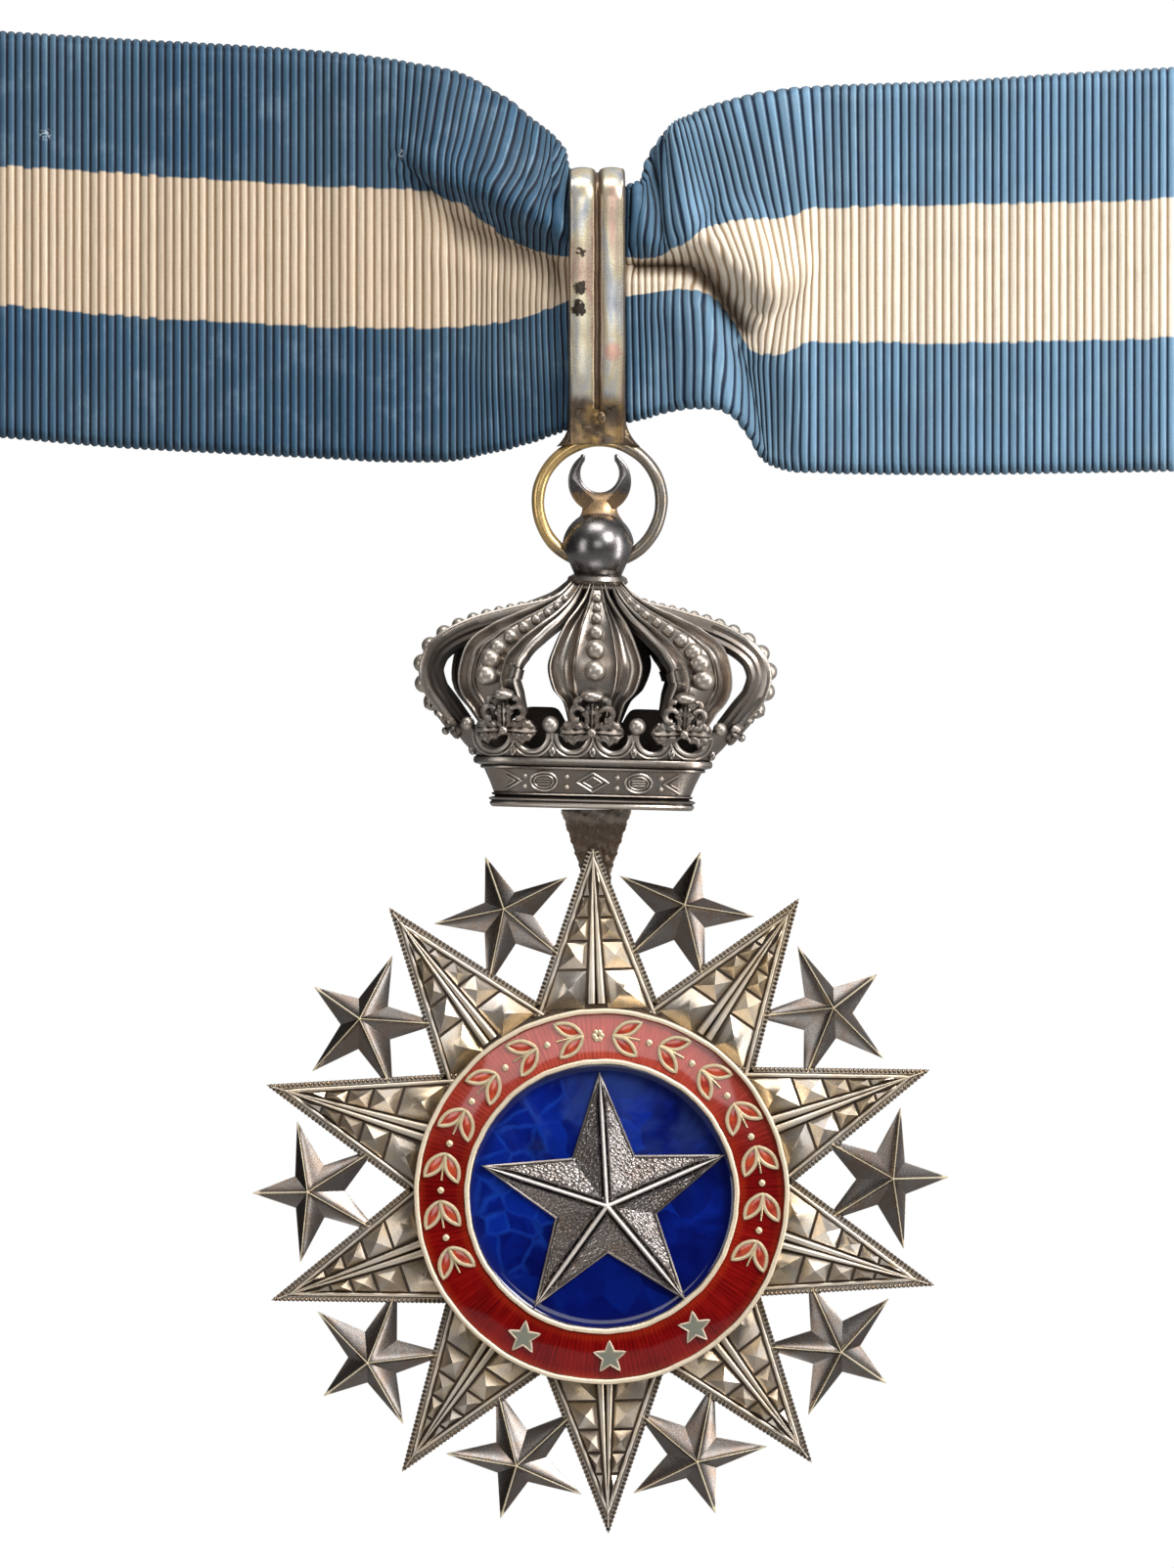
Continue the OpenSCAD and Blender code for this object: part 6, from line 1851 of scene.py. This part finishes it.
class BuildMedallion(bpy.types.Operator):
    """Turn the medallion's rims and back, and fill its two fields with enamel"""

    bl_idname = "insignia.build_medallion"
    bl_label = "Medallion and enamels"

    def execute(self, context):
        size = context.scene.insignia_medallion
        outer, inner = size.radius / MM, size.blue_radius / MM

        def specks(place, metal):
            dots = step_up(noise(place, 3.2, 2.0, 0.6), 0.60, 0.68)
            return mix(dots * 0.8, metal, (0.07, 0.05, 0.035, 1))

        gilt = metal_material("medallion_gilding", (0.72, 0.61, 0.46), size.gilding, (0.05, 0.035, 0.02),
            reach=0.6, warm_share=0.6, toning=0.35, dirt=0.45, scratches=0.6, hollow_limits=(0.1, 0.8),
            colour_change=specks, rubbed=(0.80, 0.67, 0.49), rubbing=0.55, sheen=0.82)
        rim = Work()
        profile = [(1.0, BASE_FRONT), (outer - 0.1, BASE_FRONT), (outer, BASE_FRONT + 0.1),
            (outer, RIM_FRONT - 0.18), (outer - 0.05, RIM_FRONT - 0.06), (outer - 0.14, RIM_FRONT),
            (outer - 0.36, RIM_FRONT), (outer - 0.45, RIM_FRONT - 0.06), (outer - 0.5, RIM_FRONT - 0.16),
            (outer - 0.5, FLOOR), (inner + 0.55, FLOOR), (inner + 0.55, RIM_FRONT - 0.16),
            (inner + 0.52, RIM_FRONT - 0.06), (inner + 0.42, RIM_FRONT + 0.01),
            (inner + 0.28, RIM_FRONT + 0.03), (inner + 0.14, RIM_FRONT), (inner + 0.05, RIM_FRONT - 0.08),
            (inner, RIM_FRONT - 0.2), (inner, FLOOR - 0.4), (1.0, FLOOR - 0.4)]
        points, faces = turned(profile, 220)
        a = np.linspace(0, 2 * math.pi, 220, endpoint=False)[:, None]
        beaten = 0.025 * np.sin(9 * a + 1) + 0.018 * np.sin(23 * a) + 0.012 * np.sin(41 * a + 2)
        beaten = points_of(np.cos(a) * beaten, 0 * beaten, np.sin(a) * beaten)
        points = points + beaten * (points[..., 1:2] > 2.0)
        high = np.array([p[1] for p in profile]) > RIM_FRONT - 0.08
        wear = np.where(high, 0.95, 0.3)[None, :] * np.ones((220, 1))
        rim.add(on_medal(points), faces, wear)
        settle(rim.object("medallion_rims", gilt, 50), "badge", "silver", "medallion_base")

        red = Work()
        radii = np.linspace(RED_INNER, RED_OUTER, 13)
        swell = red_level(radii)
        points, faces = turned([(RED_INNER, FLOOR + 0.03)] + list(zip(radii, swell))
            + [(RED_OUTER, FLOOR + 0.03)], 200)
        a = np.linspace(0, 2 * math.pi, 200, endpoint=False)[:, None]
        waves = 0.018 * np.sin(5 * a + 0.7) + 0.012 * np.sin(12 * a)
        points[..., 1] += np.where(points[..., 1] > 1.5, waves, 0)
        red.add(on_medal(points), faces, 0.5)
        settle(red.object("red_field", red_enamel(size), 60), "badge", "red_enamel", "red_enamel_ring")

        blue = Work()
        edge = inner - 0.03
        profile = [(0, FLOOR - 0.37), (edge, FLOOR - 0.37), (edge, BLUE_FRONT + 0.16),
            (edge - 0.15, BLUE_FRONT + 0.08), (edge - 0.5, BLUE_FRONT + 0.01)]
        profile += [(r, BLUE_FRONT + 0.012 * (edge - r)) for r in np.linspace(edge - 1.0, 1.0, 14)]
        profile += [(0, BLUE_FRONT + 0.14)]
        points, faces = disc(profile, 180)
        flat = points[:, 1] > BLUE_FRONT - 0.05
        points[:, 1] += flat * (0.02 * np.sin(0.5 * points[:, 0] + 1)
            + 0.02 * np.sin(0.42 * points[:, 2] - 0.27 * points[:, 0])) - 0.02 * flat
        blue.add(on_medal(points), faces, 0.5)
        settle(blue.object("blue_field", blue_enamel(size), 60), "badge", "blue_enamel", "blue_enamel_disc")
        return {"FINISHED"}


def centre_profile(wide):
    """The centre star's face across half an arm: round ridge, groove, fine second ridge, field and rim."""
    k = np.minimum(1, wide / 1.6)[:, None]
    fixed = np.array([0.0, 0.12, 0.24, 0.35, 0.44, 0.53, 0.63, 0.73, 0.83, 0.93, 1.04]) * k
    from_rim = wide[:, None] - np.array([0.46, 0.36, 0.26, 0.14, 0.0]) * k
    gap = from_rim[:, :1] - fixed[:, -1:]
    field = fixed[:, -1:] + gap * np.linspace(0.12, 0.88, 7)[None, :]
    mm = np.concatenate([fixed, field, from_rim], 1)
    share = mm / np.maximum(wide[:, None], 1e-6)
    edge = wide[:, None] - mm
    lift = (0.30 * np.sqrt(np.clip(1 - (mm / (0.46 * k + 1e-3))**2, 0, 1))
        - 0.17 * np.exp(-((mm - 0.61 * k) / (0.13 * k + 1e-3))**2)
        + 0.10 * np.exp(-((mm - 0.84 * k) / (0.10 * k + 1e-3))**2) - 0.10 * np.sin(math.pi * share)
        + 0.10 * np.exp(-((edge - 0.12) / 0.12)**2) - 0.06 * np.exp(-((edge - 0.42) / 0.10)**2)) * k
    wear = (0.30 + 0.70 * np.exp(-(mm / (0.38 * k + 1e-3))**4)
        - 0.30 * np.exp(-((mm - 0.61 * k) / (0.15 * k + 1e-3))**2)
        + 0.55 * np.exp(-((mm - 0.84 * k) / (0.10 * k + 1e-3))**2)
        + 0.45 * np.exp(-((edge - 0.12) / 0.15)**2))
    return share, lift, np.clip(wear, 0, 1)


class BuildCentre(bpy.types.Operator):
    """Chase the ridged five-pointed star that stands in the blue field"""

    bl_idname = "insignia.build_centre"
    bl_label = "Centre star"

    def execute(self, context):
        size = context.scene.insignia_medallion
        r = size.star_radius / MM
        silver = metal_material("chased_dark_star", (0.20, 0.183, 0.175), (0.16, 0.115, 0.09),
            (0.03, 0.022, 0.018), reach=0.5, warm_share=0.5, toning=0.35, dirt=0.45, scratches=0.4,
            grain=0.008, hollow_limits=(0.02, 0.62), rubbed=(0.84, 0.78, 0.71), rubbing=0.9, stipple=0.13)
        star = Work()
        stations = np.concatenate([np.linspace(0, 0.9, 22), [0.94, 0.97, 0.985, 0.995]])
        middle = np.array([0.15, -0.55])

        def seat(points):
            points = lean(points, -1.3, (0.35 + middle[0], -0.33 + middle[1]))
            return on_medal(points)
        for k in range(5):
            at = [np.array([q * math.cos(math.radians(90 - 72 * k + b)),
                q * math.sin(math.radians(90 - 72 * k + b))]) - middle
                for q, b in ((r, 0), (5.05, 36), (5.05, -36))]
            ridged_arm(star, (at[0], at[0]), (at[1], at[2]), CENTRE_PEAK, CENTRE_EDGE, CENTRE_BACK, stations,
                centre_profile, 0.3, seat)
        settle(star.object("chased_star", silver, 35), "badge", "dark_silver", "centre_star")
        return {"FINISHED"}


def leaf_outline(long, wide, points=9):
    t = np.linspace(0, 1, points)
    half = wide / 2 * np.sin(math.pi * t)**0.85
    return np.concatenate([points_of(-long / 2 + long * t, half),
        points_of(long / 2 - long * t, -half)[1:-1]])


def garland_tree():
    """Geometry nodes that lay copies of a leaf along the garland, turned as each point says."""
    tree, get = new_group("Garland", [("Places", "mesh", None), ("Leaf", "object", None),
        ("Finish", "material", None)], [("Leaves", "mesh", None)])
    turn = made("GeometryNodeInputNamedAttribute", {"Name": "turn"}, tree=tree, data_type="FLOAT")
    cloud = made("GeometryNodeMeshToPoints", {"Mesh": get["Places"]})
    leaf = made("GeometryNodeObjectInfo", {"Object": get["Leaf"]}, output="Geometry")
    way = made("FunctionNodeEulerToRotation", {0: made("ShaderNodeCombineXYZ", {1: turn})})
    copies = made("GeometryNodeInstanceOnPoints", {"Points": cloud, "Instance": leaf, "Rotation": way})
    return finish_pieces(tree, copies, get["Finish"], "Leaves")


class BuildGarland(bpy.types.Operator):
    """Lay the gilt wire leaves, berries and small flat stars on the red field"""

    bl_idname = "insignia.build_garland"
    bl_label = "Garland and ring stars"

    def execute(self, context):
        gilt = metal_material("gilt_wire", (0.66, 0.54, 0.34), (0.50, 0.36, 0.18), (0.06, 0.035, 0.02),
            reach=0.4, warm_share=0.6, toning=0.8, dirt=0.4, scratches=0.4, grain=0.01,
            hollow_limits=(0.05, 0.7), rubbed=(0.70, 0.58, 0.39), rubbing=0.5, sheen=0.9)
        outlined = metal_material("flat_star_edge", (0.40, 0.22, 0.08), (0.30, 0.14, 0.04),
            (0.06, 0.035, 0.02), reach=0.4, warm_share=0.6, toning=0.8, dirt=0.4, gloss=0.35, scratches=0.4,
            grain=0.01, hollow_limits=(0.05, 0.7))
        flat = metal_material("flat_star_silver", (0.21, 0.22, 0.18), (0.27, 0.23, 0.15), (0.05, 0.05, 0.04),
            reach=0.4, warm_share=0.5, toning=0.9, dirt=0.3, gloss=0.35, grain=0.01,
            hollow_limits=(0.05, 0.6), rubbed=(0.5, 0.5, 0.4), rubbing=0.0, sheen=0.6)
        inside = leaf_interior()
        level = float(red_level(RED_MIDDLE)) + 0.03
        places, turns = [], []
        for hand in (-1, 1):
            for k in range(LEAF_PAIRS):
                for side in (-1, 1):
                    a = 90 - hand * (10 + LEAF_STEP * k)
                    r = RED_MIDDLE + 0.82 * side
                    places.append((r * math.cos(math.radians(a)), float(red_level(r)) + 0.10,
                        r * math.sin(math.radians(a))))
                    turns.append(-math.radians(a + 90 + hand * 32 * side + STAR_LEAN))
        where = on_medal(np.array(places))

        def laid(name, shape, faces, finish, wear):
            pattern = Work()
            pattern.add(local_front(shape), faces, wear)
            leaf = pattern.object(name + "_pattern", finish, 40)
            bed = make_object(name, where, [], finish, 0, {"turn": np.array(turns)})
            apply_nodes(bed, garland_tree(), {"Leaf": leaf, "Finish": finish})
            bpy.data.objects.remove(leaf)
            return bed

        outline = leaf_outline(2.85, 1.15, 13)
        path = points_of(outline[:, 0], 0, outline[:, 1])
        points, faces = tube(path, 0.19, 8, True)
        points[..., 1] *= 0.75
        settle(laid("leaf_wires", points, faces, gilt, 0.9), "badge", "gilt", "gold_leaves")
        inner = leaf_outline(2.6, 0.9, 11)
        points, faces = cut_plate(inner, -0.14, -0.03, 0.04)
        settle(laid("leaf_fills", points, faces, inside, 0.5), "badge", "red_enamel")

        berries = Work()
        for hand in (-1, 1):
            for k in range(LEAF_PAIRS - 1):
                a = math.radians(90 - hand * (10 + LEAF_STEP * (k + 0.5)))
                berries.fit(on_medal, ball((RED_MIDDLE * math.cos(a), level + 0.05, RED_MIDDLE * math.sin(a)),
                    0.33, 8, 14, (1, 0.6, 1)), 0.9)
            for k in range(LEAF_PAIRS):
                a = np.radians(90 - hand * (10 + LEAF_STEP * k + np.linspace(-4, 5, 8)))
                stem = points_of(RED_MIDDLE * np.cos(a), level + 0.05, RED_MIDDLE * np.sin(a))
                berries.fit(on_medal, tube(stem, np.linspace(0.13, 0.09, 8), 8), 0.7)
        for k in range(6):
            a = math.radians(60 * k)
            berries.fit(on_medal, ball((0.36 * math.cos(a), level + 0.05, RED_MIDDLE + 0.36 * math.sin(a)),
                0.27, 8, 12, (1, 0.7, 1)), 0.8)
        settle(berries.object("berries", gilt, 50), "badge", "gilt")

        for i, angle in enumerate(RING_STAR_ANGLES):
            a = math.radians(angle)
            middle = np.array([RED_MIDDLE * math.cos(a), RED_MIDDLE * math.sin(a)])
            rim = np.array([(q * math.cos(math.radians(90 - 36 * k + 8 * (i - 1))),
                q * math.sin(math.radians(90 - 36 * k + 8 * (i - 1))))
                for k, q in enumerate((1.57, 0.70) * 5)])
            star, edge = Work(), Work()
            star.fit(on_medal, cut_plate(rim * 0.93 + middle, level - 0.02, level + 0.16, 0.06), 0.5)
            settle(star.object(f"flat_star_{i + 1}", flat, 30), "badge", "silver", f"ring_star_{i + 1}")
            fine = np.concatenate([p + (q - p) * np.linspace(0, 1, 5, endpoint=False)[:, None]
                for p, q in zip(rim, np.roll(rim, -1, 0))]) + middle
            edge.fit(on_medal, tube(points_of(fine[:, 0], level + 0.06, fine[:, 1]), 0.11, 8, True), 0.9)
            settle(edge.object(f"flat_star_{i + 1}_wire", outlined, 50), "badge", "gilt")
        return {"FINISHED"}


# Stage

# Rows of the photograph, its scale at the front plane and the camera's distance from that plane
PHOTO_ROWS, MM_PER_PIXEL, CAMERA_AWAY = 1603, 0.0925, 1500.0


def area_light(name, place, aim, size, power):
    lamp = bpy.data.lights.new(name, "AREA")
    lamp.shape, lamp.size, lamp.size_y = "RECTANGLE", size[0], size[1]
    lamp.energy = power
    holder = bpy.data.objects.new(name, lamp)
    holder.location = place
    holder.rotation_euler = (Vector(aim) - Vector(place)).to_track_quat("-Z", "Y").to_euler()
    bpy.context.scene.collection.objects.link(holder)


class BuildStage(bpy.types.Operator):
    """Set the camera at the photograph's angle, the soft studio lights and the plain pale floor"""

    bl_idname = "insignia.build_stage"
    bl_label = "Stage"

    def execute(self, context):
        scene = context.scene
        lens = bpy.data.cameras.new("camera")
        lens.sensor_width, lens.lens = 36.0, 36.0 * CAMERA_AWAY / (PHOTO_ROWS * MM_PER_PIXEL)
        lens.clip_start, lens.clip_end = 0.05, 50.0
        camera = bpy.data.objects.new("camera", lens)
        camera.location = (-1.2 * MM, (FRONT_Y - CAMERA_AWAY) * MM, -74.5 * MM)
        camera.rotation_euler = (math.radians(90), 0, 0)
        scene.collection.objects.link(camera)
        scene.camera = camera

        floor = bmesh.new()
        bmesh.ops.create_grid(floor, x_segments=1, y_segments=1, size=6.0)
        mesh = bpy.data.meshes.new("studio_floor")
        floor.to_mesh(mesh)
        floor.free()
        mesh.transform(Matrix.Translation((0, 0, -1.3)))
        sheet = bpy.data.objects.new("studio_floor", mesh)
        material = new_material("studio_paper")[0]
        finish_material(material, {"Base Color": (0.82, 0.82, 0.81, 1), "Roughness": 0.9,
            "Specular IOR Level": 0.1})
        mesh.materials.append(material)
        scene.collection.objects.link(sheet)

        world = bpy.data.worlds.new("studio")
        scene.world = world
        world.use_nodes = True
        tree = world.node_tree
        tree.nodes.clear()
        direction = made("ShaderNodeTexCoord", output="Generated", tree=tree)
        x, y, z = parts_of(direction)
        # Dim towards the camera, so that enamel and flat silver stay deep; brighter above and to the right
        slant = x * 0.55 + z * 0.75
        lift = 0.06 + step_up(slant, -0.25, 0.95) * 0.62
        behind = step_up(y, -0.95, -0.35)
        lift = lift * span(behind, 0.0, 1.0, 0.30, 1.0)
        soft = joined(lift, lift, lift * 1.03)
        seen = made("ShaderNodeLightPath", output="Is Camera Ray", tree=tree)
        tone = mix(seen, soft, (1, 1, 1, 1))
        back = made("ShaderNodeBackground", {"Color": tone, "Strength": 1.0})
        put(tree, "ShaderNodeOutputWorld", {"Surface": back})
        scene.view_settings.view_transform = "Standard"
        scene.view_settings.look = "None"

        aim = (0.0, -0.055, -0.08)
        area_light("key_box", (0.50, -0.70, 0.46), aim, (0.36, 0.36), 8.5)
        area_light("right_strip", (0.75, -0.30, -0.05), aim, (0.20, 0.8), 4.2)
        area_light("left_fill", (-0.70, -0.62, 0.02), aim, (0.30, 0.5), 1.5)
        area_light("top_box", (-0.06, -0.34, 0.70), aim, (0.5, 0.32), 3.4)
        area_light("front_top", (0.0, -1.35, 0.17), aim, (0.50, 0.38), 1.7)
        area_light("low_bounce", (-0.10, -0.50, -0.70), aim, (0.4, 0.2), 0.5)
        return {"FINISHED"}


# Panel and run

OPERATORS = (BuildStage, BuildRibbon, BuildBail, BuildRing, BuildFinial, BuildCrown, BuildHanger, BuildStar,
    BuildMedallion, BuildCentre, BuildGarland)
SETTINGS = {"insignia_ribbon": RibbonSettings, "insignia_bail": BailSettings, "insignia_crown": CrownSettings,
    "insignia_star": StarSettings, "insignia_medallion": MedallionSettings}
FINISHES = {}


class InsigniaPanel(bpy.types.Panel):
    """Lists the pieces of the insignia and their sizes"""

    bl_idname = "VIEW3D_PT_insignia"
    bl_label = "Order insignia"
    bl_space_type = "VIEW_3D"
    bl_region_type = "UI"
    bl_category = "Insignia"

    def draw(self, context):
        for operator in OPERATORS:
            self.layout.operator(operator.bl_idname)
        for key, group in SETTINGS.items():
            box = self.layout.box()
            box.label(text=key.split("_")[1].capitalize())
            for name in group.__annotations__:
                box.prop(getattr(context.scene, key), name)


CLASSES = (*SETTINGS.values(), *OPERATORS, InsigniaPanel)


def register():
    for one in CLASSES:
        bpy.utils.register_class(one)
    for key, group in SETTINGS.items():
        setattr(bpy.types.Scene, key, bpy.props.PointerProperty(type=group))


def unregister():
    for key in SETTINGS:
        delattr(bpy.types.Scene, key)
    for one in reversed(CLASSES):
        bpy.utils.unregister_class(one)


def main():
    register()
    FINISHES["Aged metal"] = aged_metal_group()
    for operator in OPERATORS:
        group, name = operator.bl_idname.split(".")
        getattr(getattr(bpy.ops, group), name)()


if __name__ == "__main__":
    main()
